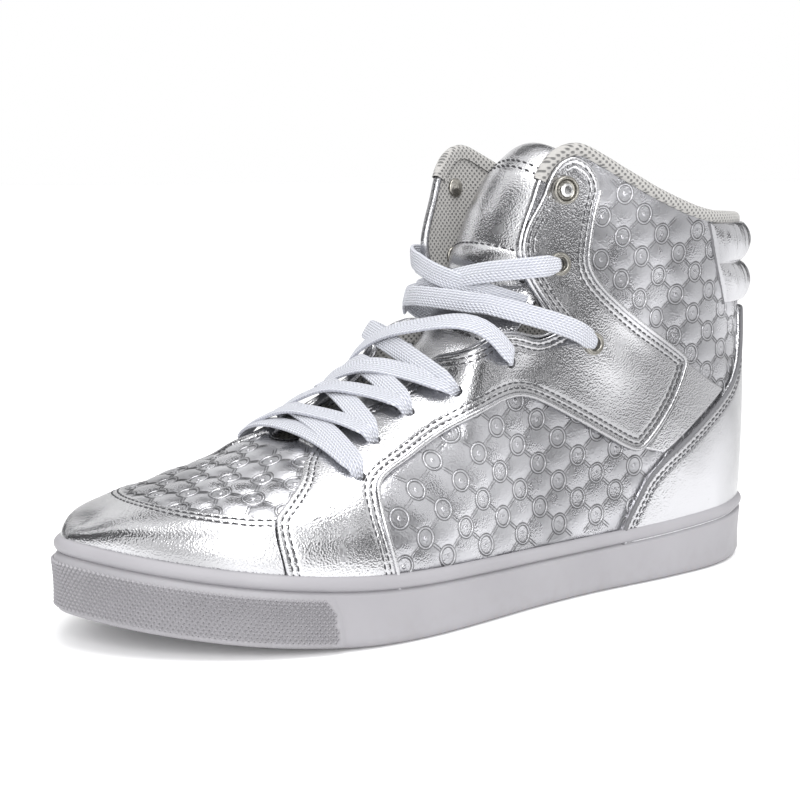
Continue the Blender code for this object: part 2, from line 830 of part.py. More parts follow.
def grid_solid(name, outer, inner, finish):
    """A closed slab between two grids of points with the same rows and columns."""
    rows, columns = len(outer), len(outer[0])
    vertices = [p for row in outer for p in row] + [p for row in inner for p in row]
    half = rows * columns
    faces = []
    for r in range(rows - 1):
        for c in range(columns - 1):
            a = r * columns + c
            quad = (a, a + 1, a + columns + 1, a + columns)
            faces.append(quad)
            faces.append(tuple(half + i for i in reversed(quad)))
    edge = [(0, c) for c in range(columns - 1)] + [(r, columns - 1) for r in range(rows - 1)]
    edge += [(rows - 1, c) for c in range(columns - 1, 0, -1)] + [(r, 0) for r in range(rows - 1, 0, -1)]
    edge = [r * columns + c for r, c in edge]
    for a, b in zip(edge, edge[1:] + edge[:1]):
        faces.append((a, b, half + b, half + a))
    return new_object(name, vertices, faces, finish)


def make_tongue():
    """A padded strip, crowned across, that follows the instep and stands above the laces."""
    line = [
        (x * SOLE_LENGTH, z * SHOE_HEIGHT, h * BALL_WIDTH, c * BALL_WIDTH) for x, z, h, c in TONGUE_LINE
    ]
    line = smooth_path(line, 2)
    outer, inner = [], []
    for k, (x, z, half, crown) in enumerate(line):
        back, ahead = line[max(k - 1, 0)], line[min(k + 1, len(line) - 1)]
        run = Vector((ahead[0] - back[0], 0.0, ahead[1] - back[1])).normalized()
        out = Vector((-run.z, 0.0, run.x))
        if out.x + out.z < 0:
            out = -out
        outer_row, inner_row = [], []
        for c in range(TONGUE_COLUMNS + 1):
            w = 2.0 * c / TONGUE_COLUMNS - 1.0
            face = Vector((x, w * half, z)) - out * crown * w * w
            thick = TONGUE_THICKNESS * (1.0 - 0.55 * w ** 4)
            outer_row.append(face)
            inner_row.append(face - out * thick)
        outer.append(outer_row)
        inner.append(inner_row)
    return grid_solid("tongue", outer, inner, silver)


def height_to_rise(share, side, z):
    """How far up its rib the last reaches the height z."""
    low, high = 0.0, 1.0
    for _ in range(18):
        middle = (low + high) / 2
        if rib_point(share, side, middle).z < z:
            low = middle
        else:
            high = middle
    return low


def make_collar_pads():
    """Two quilted rolls round the back of the collar."""
    rows = 4 * PAD_ROLLS
    outer, inner = [], []
    for r in range(rows + 1):
        z = mix(PAD_LOW, PAD_HIGH, r / rows) * SHOE_HEIGHT
        reach = mix(PAD_REACH_LOW, PAD_REACH_HIGH, r / rows)
        outer_row, inner_row = [], []
        for c in range(PAD_COLUMNS + 1):
            w = 2.0 * c / PAD_COLUMNS - 1.0
            side = 1 if w >= 0 else -1
            share = abs(w) * reach
            here = rib_point(share, side, height_to_rise(share, side, z))
            out = skin_normal(here)
            swell = abs(math.sin(math.pi * PAD_ROLLS * r / rows)) ** 0.7 * (1.0 - w ** 4) ** 0.5
            outer_row.append(here + out * (GAP + PAD_SEAM + PAD_SWELL * swell))
            inner_row.append(here + out * GAP)
        outer.append(outer_row)
        inner.append(inner_row)
    return grid_solid("collar_pad", outer, inner, silver)


def skin_tree():
    return BVHTree.FromPolygons([tuple(p) for p in SKIN_POINTS], SKIN_FACES)


TREE = skin_tree()


def skin_normal(point):
    """The outward direction of the last's skin nearest to a point."""
    return TREE.find_nearest(point)[1]


def side_place(x, z, side):
    """A place on the skin under a point of the side view."""
    start = Vector((x * SOLE_LENGTH, side * 2 * BALL_WIDTH, z * SHOE_HEIGHT))
    place, _, _, _ = TREE.ray_cast(start, Vector((0.0, -side, 0.0)))
    return place


def strap(name, path, outs):
    """A flat lace along a path, its flat side facing outs."""
    half = LACE_WIDTH / 2
    vertices = []
    count = len(path)
    for k, (place, out) in enumerate(zip(path, outs)):
        run = (path[min(k + 1, count - 1)] - path[max(k - 1, 0)]).normalized()
        across = run.cross(out).normalized() * half
        up = across.cross(run).normalized() * LACE_THICKNESS / 2
        if up.dot(out) < 0:
            up = -up
        vertices += [place + across - up, place + across + up, place - across + up, place - across - up]
    faces = [(0, 1, 2, 3), tuple(4 * count - 4 + i for i in (3, 2, 1, 0))]
    for k in range(count - 1):
        for i in range(4):
            a, b = 4 * k + i, 4 * k + (i + 1) % 4
            faces.append((a, b, b + 4, a + 4))
    return new_object(name, vertices, faces, lace_cloth)


def raised_path(path, outs, across, lift):
    """The path moved out so that a lace along it is nowhere nearer than lift to the skin."""
    rise = [0.0] * len(path)
    for k in range(len(path) - 1):
        for t in (0.0, 0.25, 0.5, 0.75, 1.0):
            for edge in (-1, 0, 1):
                here = path[k].lerp(path[k + 1], t) + across * edge
                near, out, _, _ = TREE.find_nearest(here)
                short = lift - (here - near).dot(out)
                rise[k] = max(rise[k], short)
                rise[k + 1] = max(rise[k + 1], short)
    for _ in range(2):
        beside = [rise[0]] + rise + [rise[-1]]
        rise = [max(b, (a + c) / 2) for a, b, c in zip(beside, beside[1:], beside[2:])]
    return [place + out * more for place, out, more in zip(path, outs, rise)]


def lace_over(name, start, end, layer):
    """A lace across the throat, from above one hole to above another.

    It follows the section of the last by the plane through both holes and the instep.
    """
    lift = GAP + OVERLAY_THICKNESS + LACE_LIFT + layer * LACE_LAYER + LACE_THICKNESS / 2
    up = (skin_normal(start) + skin_normal(end)).normalized()
    across = up.cross(end - start).normalized() * LACE_WIDTH / 2
    heart = (start + end) / 2 - up * LACE_HEART * SHOE_HEIGHT
    path, outs = [], []
    for k in range(LACE_STEPS + 1):
        aim = (start - heart).lerp(end - heart, k / LACE_STEPS).normalized()
        place, out, _, _ = TREE.ray_cast(heart, aim)
        path.append(place + out * lift)
        outs.append(aim)
    return strap(name, raised_path(path, outs, across, lift), outs)


def make_throat_laces():
    """One straight lace at the front and a pair that cross for each further pair of holes."""
    holes = {side: [side_place(x, z, side) for x, z in LACE_HOLES] for side in (1, -1)}
    laces = lace_over("lace_throat", holes[1][0], holes[-1][0], 0)
    for k in range(len(LACE_HOLES) - 1):
        for layer, side in ((1, 1), (2, -1)):
            lace = lace_over("lace_cutter", holes[side][k], holes[-side][k + 1], layer)
            cut(laces, lace, "UNION", "MANIFOLD")
    return laces


def over_eyelet(side, number):
    """Where a lace comes out above an eyelet of one ankle flap."""
    place = side_place(*EYELETS[number], side)
    return place + skin_normal(place) * (EYELET_SEAT + EYELET_RISE + GAP + LACE_THICKNESS / 2)


def make_leg_laces():
    """The laces between the ankle flaps, joined where they cross."""
    joined = None
    for first, places, last in LEG_LACES:
        route = [(x * SOLE_LENGTH, y * BALL_WIDTH, z * SHOE_HEIGHT) for x, y, z in places]
        if first:
            route.insert(0, tuple(over_eyelet(*first)))
        if last:
            route.append(tuple(over_eyelet(*last)))
        path = [Vector(p) for p in smooth_path(route, 2)]
        outs = [skin_normal(p) for p in path]
        lace = strap("lace_cutter" if joined else "lace_leg", path, outs)
        joined = cut(joined, lace, "UNION", "MANIFOLD") if joined else lace
    return joined


def turned(name, place, out, profile, segments, finish):
    """A ring or stud turned round an axis: profile rows are (radius, height)."""
    side = out.orthogonal().normalized()
    other = out.cross(side)
    vertices = []
    for radius, height in profile:
        for k in range(segments):
            a = 2 * math.pi * k / segments
            vertices.append(place + (side * math.cos(a) + other * math.sin(a)) * radius + out * height)
    faces = []
    count = len(profile)
    closed = profile[0][0] > EYELET_HOLE_RADIUS / 2
    for r in range(count if closed else count - 1):
        for k in range(segments):
            a, b = r * segments, (r + 1) % count * segments
            n = (k + 1) % segments
            faces.append((a + k, a + n, b + n, b + k))
    if not closed:
        faces.append(tuple(range(segments)))
        faces.append(tuple((count - 1) * segments + k for k in range(segments)))
    return new_object(name, vertices, faces, finish)


def make_metal():
    hole, edge = EYELET_HOLE_RADIUS, EYELET_RADIUS
    ring = [(hole, 0.0), (edge, 0.0), (edge, 0.4 * EYELET_RISE)]
    ring += [((hole + edge) / 2, EYELET_RISE), (hole, 0.6 * EYELET_RISE)]
    stud = [(0.0002, 0.0), (RIVET_RADIUS, 0.0), (RIVET_RADIUS, 0.0006)]
    stud += [(0.7 * RIVET_RADIUS, 0.0014), (0.0002, 0.0018)]
    for name, side in (("lateral", 1), ("medial", -1)):
        for number, (x, z) in enumerate(EYELETS):
            place = side_place(x, z, side)
            out = skin_normal(place)
            turned("eyelet_%s_%d" % (name, number + 1), place + out * EYELET_SEAT, out, ring, 10, nickel)
        place = side_place(*RIVET_PLACE, side)
        out = skin_normal(place)
        turned("rivet_" + name, place + out * EYELET_SEAT, out, stud, 10, nickel)


make_upper()
make_overlays()
make_outsole()
make_insole()
make_tongue()
make_collar_pads()
make_throat_laces()
make_leg_laces()
make_metal()
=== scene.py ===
# %% [markdown]
# A silver high-top dance sneaker, a left shoe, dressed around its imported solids.
# The solids give the sizes and the place of each part. The cells below make the
# leather, the quilting, the seams, the lace and the sole that are seen.

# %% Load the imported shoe
import math

import bmesh
import bpy
import numpy as np
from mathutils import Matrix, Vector
from mathutils.bvhtree import BVHTree
from mathutils.kdtree import KDTree


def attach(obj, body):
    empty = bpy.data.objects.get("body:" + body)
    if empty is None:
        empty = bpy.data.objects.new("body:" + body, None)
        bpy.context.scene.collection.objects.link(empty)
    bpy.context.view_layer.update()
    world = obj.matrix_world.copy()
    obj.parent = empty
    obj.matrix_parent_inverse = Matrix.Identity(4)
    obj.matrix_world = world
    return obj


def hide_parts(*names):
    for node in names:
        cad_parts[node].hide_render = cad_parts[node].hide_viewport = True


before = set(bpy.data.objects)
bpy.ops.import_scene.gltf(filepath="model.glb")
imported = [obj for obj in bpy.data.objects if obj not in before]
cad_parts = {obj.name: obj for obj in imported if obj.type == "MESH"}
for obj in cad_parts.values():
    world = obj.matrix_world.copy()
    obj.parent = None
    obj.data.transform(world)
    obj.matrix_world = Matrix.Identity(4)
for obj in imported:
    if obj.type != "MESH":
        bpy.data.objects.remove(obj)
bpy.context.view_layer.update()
BODY = "root"
MM = 0.001
SIDES = ((1, "lateral"), (-1, "medial"))
print("solids:", len(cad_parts))

# %% [markdown]
# The camera comes first, so that every later choice can be judged from the side of
# the photograph: a long lens, low and in front of the shoe's outer side.

# %% Camera
CAMERA_PLACE = Vector((0.4535, 0.4874, 0.1547))
CAMERA_AIM = Vector((0.1159, 0.0, 0.0721))
lens = bpy.data.cameras.new("camera")
lens.sensor_width = 36.0
lens.sensor_height = 36.0
lens.sensor_fit = "HORIZONTAL"
lens.lens = 74.9
camera = bpy.data.objects.new("camera", lens)
camera.location = CAMERA_PLACE
camera.rotation_euler = (CAMERA_AIM - CAMERA_PLACE).to_track_quat("-Z", "Y").to_euler()
bpy.context.collection.objects.link(camera)
bpy.context.scene.camera = camera
print("camera:", lens.lens, "mm lens,", round((CAMERA_AIM - CAMERA_PLACE).length, 3), "m from the shoe")


# %% [markdown]
# A plain mesh object needs the same few steps each time, so one helper makes it from
# points and faces, and another hands a finished piece to the frame.

# %% Helpers for meshes
def into_scene(name, data):
    made = bpy.data.objects.new(name, data)
    bpy.context.collection.objects.link(made)
    return made


def mesh_object(name, points, faces, finish=None, smooth=True):
    """An object of points and faces, in one finish."""
    mesh = bpy.data.meshes.new(name)
    mesh.from_pydata([tuple(p) for p in points], [], [tuple(int(i) for i in f) for f in faces])
    if finish:
        mesh.materials.append(finish)
    if smooth:
        mesh.shade_smooth()
    return into_scene(name, mesh)


def put_uv(piece, values, name="along"):
    """Give a piece a UV map from one (u, v) for each of its points."""
    mesh = piece.data
    layer = mesh.uv_layers.new(name=name)
    corner_points = np.empty(len(mesh.loops), dtype=np.int32)
    mesh.loops.foreach_get("vertex_index", corner_points)
    layer.data.foreach_set("uv", np.asarray(values, dtype=np.float32)[corner_points].ravel())


print("ready: into_scene, mesh_object, put_uv")

# %% Grids, rings and whole pieces
def joined(parts):
    """Several sets of points and faces as one."""
    points, faces = [], []
    for part_points, part_faces in parts:
        faces += [tuple(len(points) + i for i in face) for face in part_faces]
        points += part_points
    return points, faces


def grid_faces(columns, rows):
    """Quads of a grid whose points lie column by column."""
    faces = []
    for c in range(columns):
        for r in range(rows):
            a = c * (rows + 1) + r
            faces.append((a, a + 1, a + rows + 2, a + rows + 1))
    return faces


def ring_faces(rings, count):
    """Quads between closed rings of points that lie one after another."""
    faces = []
    for a in range(0, (rings - 1) * count, count):
        for k in range(count):
            n = (k + 1) % count
            faces.append((a + k, a + n, a + count + n, a + count + k))
    return faces


def face_outwards(piece, merge=0.0):
    """Turn the faces of a closed piece outwards, once its doubled points are merged."""
    edit = bmesh.new()
    edit.from_mesh(piece.data)
    if merge:
        bmesh.ops.remove_doubles(edit, verts=edit.verts, dist=merge)
    bmesh.ops.recalc_face_normals(edit, faces=edit.faces)
    edit.to_mesh(piece.data)
    edit.free()


def bare_edges(name, points, pairs):
    """A piece of edges alone, which a node tree then turns into a cord."""
    piece = mesh_object(name, points, [], smooth=False)
    piece.data.edges.add(len(pairs))
    piece.data.edges.foreach_set("vertices", np.array(pairs, dtype=np.int32).ravel())
    return piece


print("quads in a grid of 3 by 2:", len(grid_faces(3, 2)))

# %% Hand a piece over
def hand_over(piece, slot, *nodes):
    """Let a piece ride on the shoe and hide the solids that it stands for. slot is not used."""
    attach(piece, BODY)
    if nodes:
        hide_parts(*nodes)
    print("%-22s %6d faces" % (piece.name, len(piece.data.polygons)))
    return piece


# %% [markdown]
# The last is the foot-shaped form that a shoe is pulled over. Its tables are the same
# as the solids': the sole seen from above, and ribs that rise from the sole's edge.
# Here the form is sampled far more finely, so that light runs over it without facets.

# %% Sizes and tables of the last
SOLE_LENGTH = 0.290
BALL_WIDTH = 0.106
SHOE_HEIGHT = 0.168
TOE_SPRING = 0.0108
SPRING_START = 0.185
SOLE_HEIGHTS = [(0.0, 0.0254), (0.100, 0.0218), (0.200, 0.0238), (0.290, 0.0252)]
RIM_WIDTH = 0.0028
RIM_GAP = 0.0003
HEEL_REST = 0.0455
WALL = 0.0022

LATERAL_OUTLINE = [
    # along, out: shares of SOLE_LENGTH and BALL_WIDTH, from heel to toe
    (0.000, 0.000), (0.010, 0.112), (0.034, 0.214), (0.103, 0.318), (0.207, 0.362),
    (0.345, 0.380), (0.448, 0.415), (0.552, 0.470), (0.638, 0.506), (0.724, 0.502),
    (0.810, 0.440), (0.879, 0.344), (0.938, 0.212), (0.978, 0.072), (1.000, -0.076),
]
MEDIAL_OUTLINE = [
    (0.000, 0.000), (0.010, -0.112), (0.034, -0.214), (0.103, -0.308), (0.207, -0.332),
    (0.345, -0.304), (0.448, -0.302), (0.552, -0.358), (0.655, -0.444), (0.741, -0.494),
    (0.810, -0.488), (0.879, -0.434), (0.938, -0.350), (0.980, -0.222), (1.000, -0.076),
]
RIBS = [
    # round, top_x, top_z, mid_y, half_y, back, swell, rise, reach, lean, drop
    (0.00, 0.020, 0.850, 0.000, 0.000, 0.000, 0.000, 0.300, 0.000, -0.010, 0.300),
    (0.06, 0.036, 0.850, 0.000, 0.150, 0.000, 0.020, 0.300, -0.010, -0.008, 0.300),
    (0.12, 0.080, 0.850, 0.000, 0.265, 0.000, 0.030, 0.290, -0.030, -0.004, 0.300),
    (0.20, 0.145, 0.855, 0.000, 0.330, 0.000, 0.020, 0.280, -0.040, 0.000, 0.310),
    (0.30, 0.225, 0.885, 0.000, 0.350, 0.000, -0.010, 0.280, -0.035, 0.010, 0.330),
    (0.38, 0.300, 0.930, 0.000, 0.345, -0.005, -0.025, 0.290, -0.020, 0.020, 0.340),
    (0.45, 0.385, 0.980, -0.010, 0.325, -0.015, -0.060, 0.280, -0.030, 0.020, 0.330),
    (0.50, 0.455, 1.010, -0.015, 0.240, -0.030, -0.080, 0.270, 0.030, 0.010, 0.220),
    (0.54, 0.500, 1.020, -0.020, 0.000, -0.045, -0.080, 0.240, 0.250, 0.000, 0.060),
    (0.57, 0.522, 0.760, -0.010, 0.000, -0.058, -0.060, 0.225, 0.230, 0.000, 0.090),
    (0.60, 0.530, 0.565, -0.010, 0.000, -0.045, -0.030, 0.180, 0.220, 0.000, 0.010),
    (0.64, 0.590, 0.494, -0.015, 0.000, -0.035, 0.005, 0.160, 0.230, 0.000, 0.000),
    (0.70, 0.675, 0.408, -0.030, 0.000, -0.020, 0.010, 0.140, 0.250, 0.000, 0.000),
    (0.76, 0.755, 0.345, -0.050, 0.000, -0.010, 0.010, 0.118, 0.260, 0.010, 0.000),
    (0.82, 0.830, 0.305, -0.065, 0.000, 0.000, 0.008, 0.095, 0.250, 0.020, 0.000),
    (0.88, 0.888, 0.279, -0.072, 0.000, 0.000, 0.004, 0.068, 0.190, 0.030, 0.000),
    (0.94, 0.936, 0.259, -0.076, 0.000, 0.000, 0.000, 0.045, 0.100, 0.030, 0.000),
    (1.00, 0.968, 0.232, -0.076, 0.000, 0.000, 0.000, 0.018, 0.000, 0.000, 0.000),
]
CLOSE_ROUND = 0.54
print("ribs:", len(RIBS), "outline points:", len(LATERAL_OUTLINE), "and", len(MEDIAL_OUTLINE))

# %% Smooth curves through the tables
def smooth_row(rows, key):
    """The row of a table at a value of its first column, read from a smooth curve."""
    last = len(rows) - 1
    k = 0
    while k < last - 1 and rows[k + 1][0] < key:
        k += 1
    low, high = rows[k], rows[k + 1]
    span = high[0] - low[0]
    t = (key - low[0]) / span
    before = rows[max(k - 1, 0)]
    after = rows[min(k + 2, last)]
    h00 = (1 + 2 * t) * (1 - t) ** 2
    h10 = t * (1 - t) ** 2
    h01 = t * t * (3 - 2 * t)
    h11 = t * t * (t - 1)
    values = []
    for i in range(1, len(low)):
        slope_low = (high[i] - before[i]) / (high[0] - before[0])
        slope_high = (after[i] - low[i]) / (after[0] - low[0])
        values.append(h00 * low[i] + h10 * span * slope_low + h01 * high[i] + h11 * span * slope_high)
    return values


def lengths_along(points):
    """How far along a line each of its points lies."""
    return np.concatenate([[0.0], np.cumsum(np.linalg.norm(np.diff(points, axis=0), axis=1))])


def read_at(at, lengths, values):
    """Rows of values read at given lengths along a line."""
    return np.stack([np.interp(at, lengths, column) for column in values.T], 1)


def unit_rows(rows):
    """Each row of an array, made 1 long."""
    return rows / np.maximum(np.linalg.norm(rows, axis=1, keepdims=True), 1e-12)


def relaxed(path, rounds=2):
    """A path whose inner points are drawn towards their neighbours, so that kinks fade."""
    for _ in range(rounds):
        path[1:-1] = (path[:-2] + 2 * path[1:-1] + path[2:]) / 4
    return path


def smooth_path(points, steps, closed=False):
    """A dense smooth curve through a few points, as an array."""
    rows = np.array(points, dtype=float)
    count = len(rows)
    out = []
    for k in range(count if closed else count - 1):
        if closed:
            a, b, c, d = (rows[(k + j) % count] for j in (-1, 0, 1, 2))
        else:
            a, b = rows[max(k - 1, 0)], rows[k]
            c, d = rows[k + 1], rows[min(k + 2, count - 1)]
        for s in range(steps):
            t = s / steps
            bend = 2 * a - 5 * b + 4 * c - d + t * (3 * (b - c) + d - a)
            out.append(b + 0.5 * t * (c - a + t * bend))
    if not closed:
        out.append(rows[-1])
    return np.array(out)


print("a rib halfway to the toe:", np.round(smooth_row(RIBS, 0.5), 3))

# %% The sole's edge
OUTLINE_STEPS = 24
whole_outline = np.array(LATERAL_OUTLINE + MEDIAL_OUTLINE[-2:0:-1]) * (SOLE_LENGTH, BALL_WIDTH)
DENSE_OUTLINE = smooth_path(whole_outline, OUTLINE_STEPS, closed=True)
TOE_INDEX = OUTLINE_STEPS * (len(LATERAL_OUTLINE) - 1)
HALVES = {
    1: DENSE_OUTLINE[:TOE_INDEX + 1],
    -1: np.vstack([DENSE_OUTLINE[:1], DENSE_OUTLINE[:TOE_INDEX - 1:-1]]),
}
HALF_LENGTHS = {side: lengths_along(line) for side, line in HALVES.items()}
print("sole's edge:", [round(float(run[-1]), 4) for run in HALF_LENGTHS.values()], "m, outer and inner side")


def outline_point(share, side, inset=0.0):
    """A point of the sole's edge, a share of the way from heel to toe, moved inwards."""
    line, lengths = HALVES[side], HALF_LENGTHS[side]
    target = min(max(share, 0.0), 1.0) * lengths[-1]
    x = np.interp(target, lengths, line[:, 0])
    y = np.interp(target, lengths, line[:, 1])
    step = 0.0015
    ahead = min(target + step, lengths[-1])
    behind = max(target - step, 0.0)
    tx = np.interp(ahead, lengths, line[:, 0]) - np.interp(behind, lengths, line[:, 0])
    ty = np.interp(ahead, lengths, line[:, 1]) - np.interp(behind, lengths, line[:, 1])
    if share <= 0.0:
        tx, ty = 0.0, float(side)
    if share >= 1.0:
        tx, ty = 0.0, -float(side)
    size = math.hypot(tx, ty)
    return x + inset * ty / size * side, y - inset * tx / size * side


# %% Heights of the sole and curves of the ribs
def floor_height(x):
    t = max(0.0, (x - SPRING_START) / (SOLE_LENGTH - SPRING_START))
    return TOE_SPRING * t * t


def sole_top(x):
    return smooth_row(SOLE_HEIGHTS, min(max(x, 0.0), SOLE_LENGTH))[0] + floor_height(x)


def rib_curve(share, side, rises):
    """Points of one rib of the last, where rise 0 is at the sole's rim and 1 at its top."""
    top_x, top_z, mid_y, half_y, back, swell, lift, reach, lean, drop = smooth_row(RIBS, share)
    half_y = max(half_y, 0.0)
    bx, by = outline_point(share, side, RIM_WIDTH + RIM_GAP)
    start = np.array((bx, by, sole_top(bx)))
    end = np.array((top_x, mid_y + side * half_y, top_z)) * (SOLE_LENGTH, BALL_WIDTH, SHOE_HEIGHT)
    out = np.array(outline_point(share, side, -1.0)) - np.array(outline_point(share, side))
    low = start + np.array((*(out * swell * BALL_WIDTH), lift * SHOE_HEIGHT))
    low[0] += back * SOLE_LENGTH
    ahead = smooth_row(RIBS, min(share + 0.01, 1.0))
    behind = smooth_row(RIBS, max(share - 0.01, 0.0))
    run = np.array(((ahead[0] - behind[0]) * SOLE_LENGTH, 0.0, (ahead[1] - behind[1]) * SHOE_HEIGHT))
    run /= max(np.linalg.norm(run), 1e-9)
    high = end + np.array((0.0, side * reach * BALL_WIDTH, -drop * SHOE_HEIGHT))
    high += run * lean * SOLE_LENGTH
    r = np.asarray(rises)[:, None]
    return start * (1 - r) ** 3 + low * 3 * r * (1 - r) ** 2 + high * 3 * r ** 2 * (1 - r) + end * r ** 3


print("sole's top:", [round(sole_top(x) / MM, 1) for x in (0.0, 0.145, 0.290)], "mm at heel, middle and toe")

# %% [markdown]
# A patch of leather is kept as arrays: points, the outward direction at each of them
# and triangles. The whole last is one such patch. Its grid is about a millimetre fine.

# %% A patch of leather
COLUMNS = 300
ROWS = 92
LAP_DEPTH = 0.0070


class Patch:
    """Part of the last's skin: points, outward directions, triangles and named fields."""

    def __init__(self, points, outs, faces, fields=None):
        self.points = points
        self.outs = outs
        self.faces = faces
        self.fields = fields or {}

    def pick(self, faces):
        """The patch with only these triangles, and the new number of each old point."""
        used = np.unique(faces)
        place = np.full(len(self.points), -1)
        place[used] = np.arange(len(used))
        fields = {name: values[used] for name, values in self.fields.items()}
        return Patch(self.points[used], self.outs[used], place[faces], fields), place


def point_outs(points, faces):
    corners = points[faces]
    flat = np.cross(corners[:, 1] - corners[:, 0], corners[:, 2] - corners[:, 0])
    outs = np.zeros_like(points)
    for i in range(3):
        np.add.at(outs, faces[:, i], flat)
    return unit_rows(outs)


def true_triangles(faces):
    """The triangles whose three points differ."""
    a, b, c = faces.T
    return faces[(a != b) & (b != c) & (a != c)]


print("grid of the last:", COLUMNS, "by", ROWS)

# %% The last as one fine patch
def whole_last():
    before = round(COLUMNS * CLOSE_ROUND)
    after = COLUMNS - before
    shares = [CLOSE_ROUND * k / before for k in range(before)]
    shares += [CLOSE_ROUND + (1 - CLOSE_ROUND) * k / after for k in range(after + 1)]
    keys = [(s, 1) for s in shares] + [(s, -1) for s in shares[-2:0:-1]]
    rises = np.linspace(0.0, 1.0, ROWS + 1)
    count = len(keys)
    grid = np.zeros((count, ROWS + 2), dtype=int)
    points = []
    for k, (share, side) in enumerate(keys):
        curve = rib_curve(share, side, rises)
        lap = curve[0] - np.array((0.0, 0.0, LAP_DEPTH))
        for j, place in enumerate(np.vstack([[lap], curve])):
            mirror = (count - k) % count
            if j == ROWS + 1 and side < 0 and share >= CLOSE_ROUND - 1e-6:
                grid[k, j] = grid[mirror, j]
                continue
            grid[k, j] = len(points)
            points.append(place)
    points = np.array(points)
    points[:, 0] -= HEEL_REST
    a, b = grid[:, :-1], grid[:, 1:]
    c, d = np.roll(b, -1, axis=0), np.roll(a, -1, axis=0)
    faces = np.vstack([
        np.stack([a, b, c], axis=-1).reshape(-1, 3),
        np.stack([a, c, d], axis=-1).reshape(-1, 3),
    ])
    faces = true_triangles(faces)
    return Patch(points, point_outs(points, faces), faces)


LAST = whole_last()
middle_of_last = LAST.points.mean(axis=0)
if np.mean(np.sum((LAST.points - middle_of_last) * LAST.outs, axis=1)) < 0:
    LAST.faces = LAST.faces[:, ::-1]
    LAST.outs = -LAST.outs


print("last:", len(LAST.faces), "triangles")

# %% A softer instep
def soften(patch, middle, reach, rounds):
    """Average each point with its neighbours round a place, so that a kink there fades."""
    edges = np.vstack([patch.faces[:, [0, 1]], patch.faces[:, [1, 2]], patch.faces[:, [2, 0]]])
    edges = np.unique(np.sort(edges, axis=1), axis=0)
    near = np.exp(-(np.linalg.norm((patch.points - np.array(middle)) / np.array(reach), axis=1) ** 2))
    near = np.where(near > 0.05, near, 0.0)[:, None]
    degree = np.bincount(edges.ravel(), minlength=len(patch.points))[:, None]
    for _ in range(rounds):
        total = np.zeros_like(patch.points)
        np.add.at(total, edges[:, 0], patch.points[edges[:, 1]])
        np.add.at(total, edges[:, 1], patch.points[edges[:, 0]])
        patch.points = patch.points + near * 0.6 * (total / degree - patch.points)
    patch.outs = point_outs(patch.points, patch.faces)


INSTEP_KINK = (0.110, 0.0, 0.074)
KINK_REACH = (0.026, 0.060, 0.030)
soften(LAST, INSTEP_KINK, KINK_REACH, 220)
LAST_TREE = BVHTree.FromPolygons(LAST.points.tolist(), LAST.faces.tolist())
print("instep softened; the last has", len(LAST.points), "points")


# %% [markdown]
# A panel's edge is a smooth line, but the grid's triangles don't follow it. So the
# triangles are split where a field of numbers passes through zero, such as the
# distance to an outline. The same split puts rows of points along an edge or a seam,
# which lets an edge roll over and a seam sink in cleanly.

# %% Split a patch along a line
def with_points_between(patch, pairs, t):
    """The patch with a new point a share t along each of some pairs of its points."""
    i, j = pairs.T
    share = t[:, None]
    points = np.vstack([patch.points, patch.points[i] * (1 - share) + patch.points[j] * share])
    outs = np.vstack([patch.outs, patch.outs[i] * (1 - share) + patch.outs[j] * share])
    fields = {name: np.concatenate([f, f[i] * (1 - t) + f[j] * t]) for name, f in patch.fields.items()}
    return Patch(points, unit_rows(outs), patch.faces, fields)


def split_patch(patch, values, keep="all"):
    """Split triangles where values pass zero. keep is "all" or "inside" (values below zero).

    It returns the new patch and the pairs of its points that lie on the line."""
    values = np.where(np.abs(values) < 2e-6, 2e-6, values)
    faces = patch.faces
    below = values[faces] < 0
    kinds = below.sum(axis=1)
    mixed = (kinds == 1) | (kinds == 2)
    whole = faces[~mixed] if keep == "all" else faces[kinds == 3]
    cut = faces[mixed]
    if len(cut) == 0:
        return patch.pick(whole)[0], np.zeros((0, 2), int)
    lone_below = kinds[mixed] == 1
    lone = np.where(lone_below, below[mixed].argmax(axis=1), below[mixed].argmin(axis=1))
    a, b, c = (cut[np.arange(len(cut)), (lone + k) % 3] for k in range(3))
    sides = np.sort(np.vstack([np.stack([a, b], 1), np.stack([a, c], 1)]), axis=1)
    pairs, inverse = np.unique(sides, axis=0, return_inverse=True)
    ends = values[pairs]
    made = with_points_between(patch, pairs, ends[:, 0] / (ends[:, 0] - ends[:, 1]))
    ab, ac = len(patch.points) + inverse.reshape(2, -1)
    tips = np.stack([a, ab, ac], 1)
    bases = np.vstack([np.stack([ab, b, c], 1), np.stack([ab, c, ac], 1)])
    if keep == "inside":
        tips = tips[lone_below]
        bases = bases[np.tile(~lone_below, 2)]
    made, place = made.pick(np.vstack([whole, tips, bases]))
    line = place[np.stack([ab, ac], 1)]
    return made, line[(line >= 0).all(axis=1)]


level_pairs = split_patch(LAST, LAST.points[:, 2] - 0.06)[1]
print("a level cut through the last makes", len(level_pairs), "edges")

# %% Merge points, and find edges
def tidy_patch(patch, closest=0.00012):
    """Merge the points that splitting left very close together."""
    tree = KDTree(len(patch.points))
    for i, p in enumerate(patch.points):
        tree.insert(p, i)
    tree.balance()
    target = np.arange(len(patch.points))
    for i, p in enumerate(patch.points):
        if target[i] == i:
            for _, j, _ in tree.find_range(p, closest):
                if j > i and target[j] == j:
                    target[j] = i
    return patch.pick(true_triangles(target[patch.faces]))[0]


def edge_pairs(faces):
    """The edges that only one triangle has, as pairs of points."""
    edges = np.vstack([faces[:, [0, 1]], faces[:, [1, 2]], faces[:, [2, 0]]])
    _, index, counts = np.unique(np.sort(edges, axis=1), axis=0, return_index=True, return_counts=True)
    return edges[index[counts == 1]]


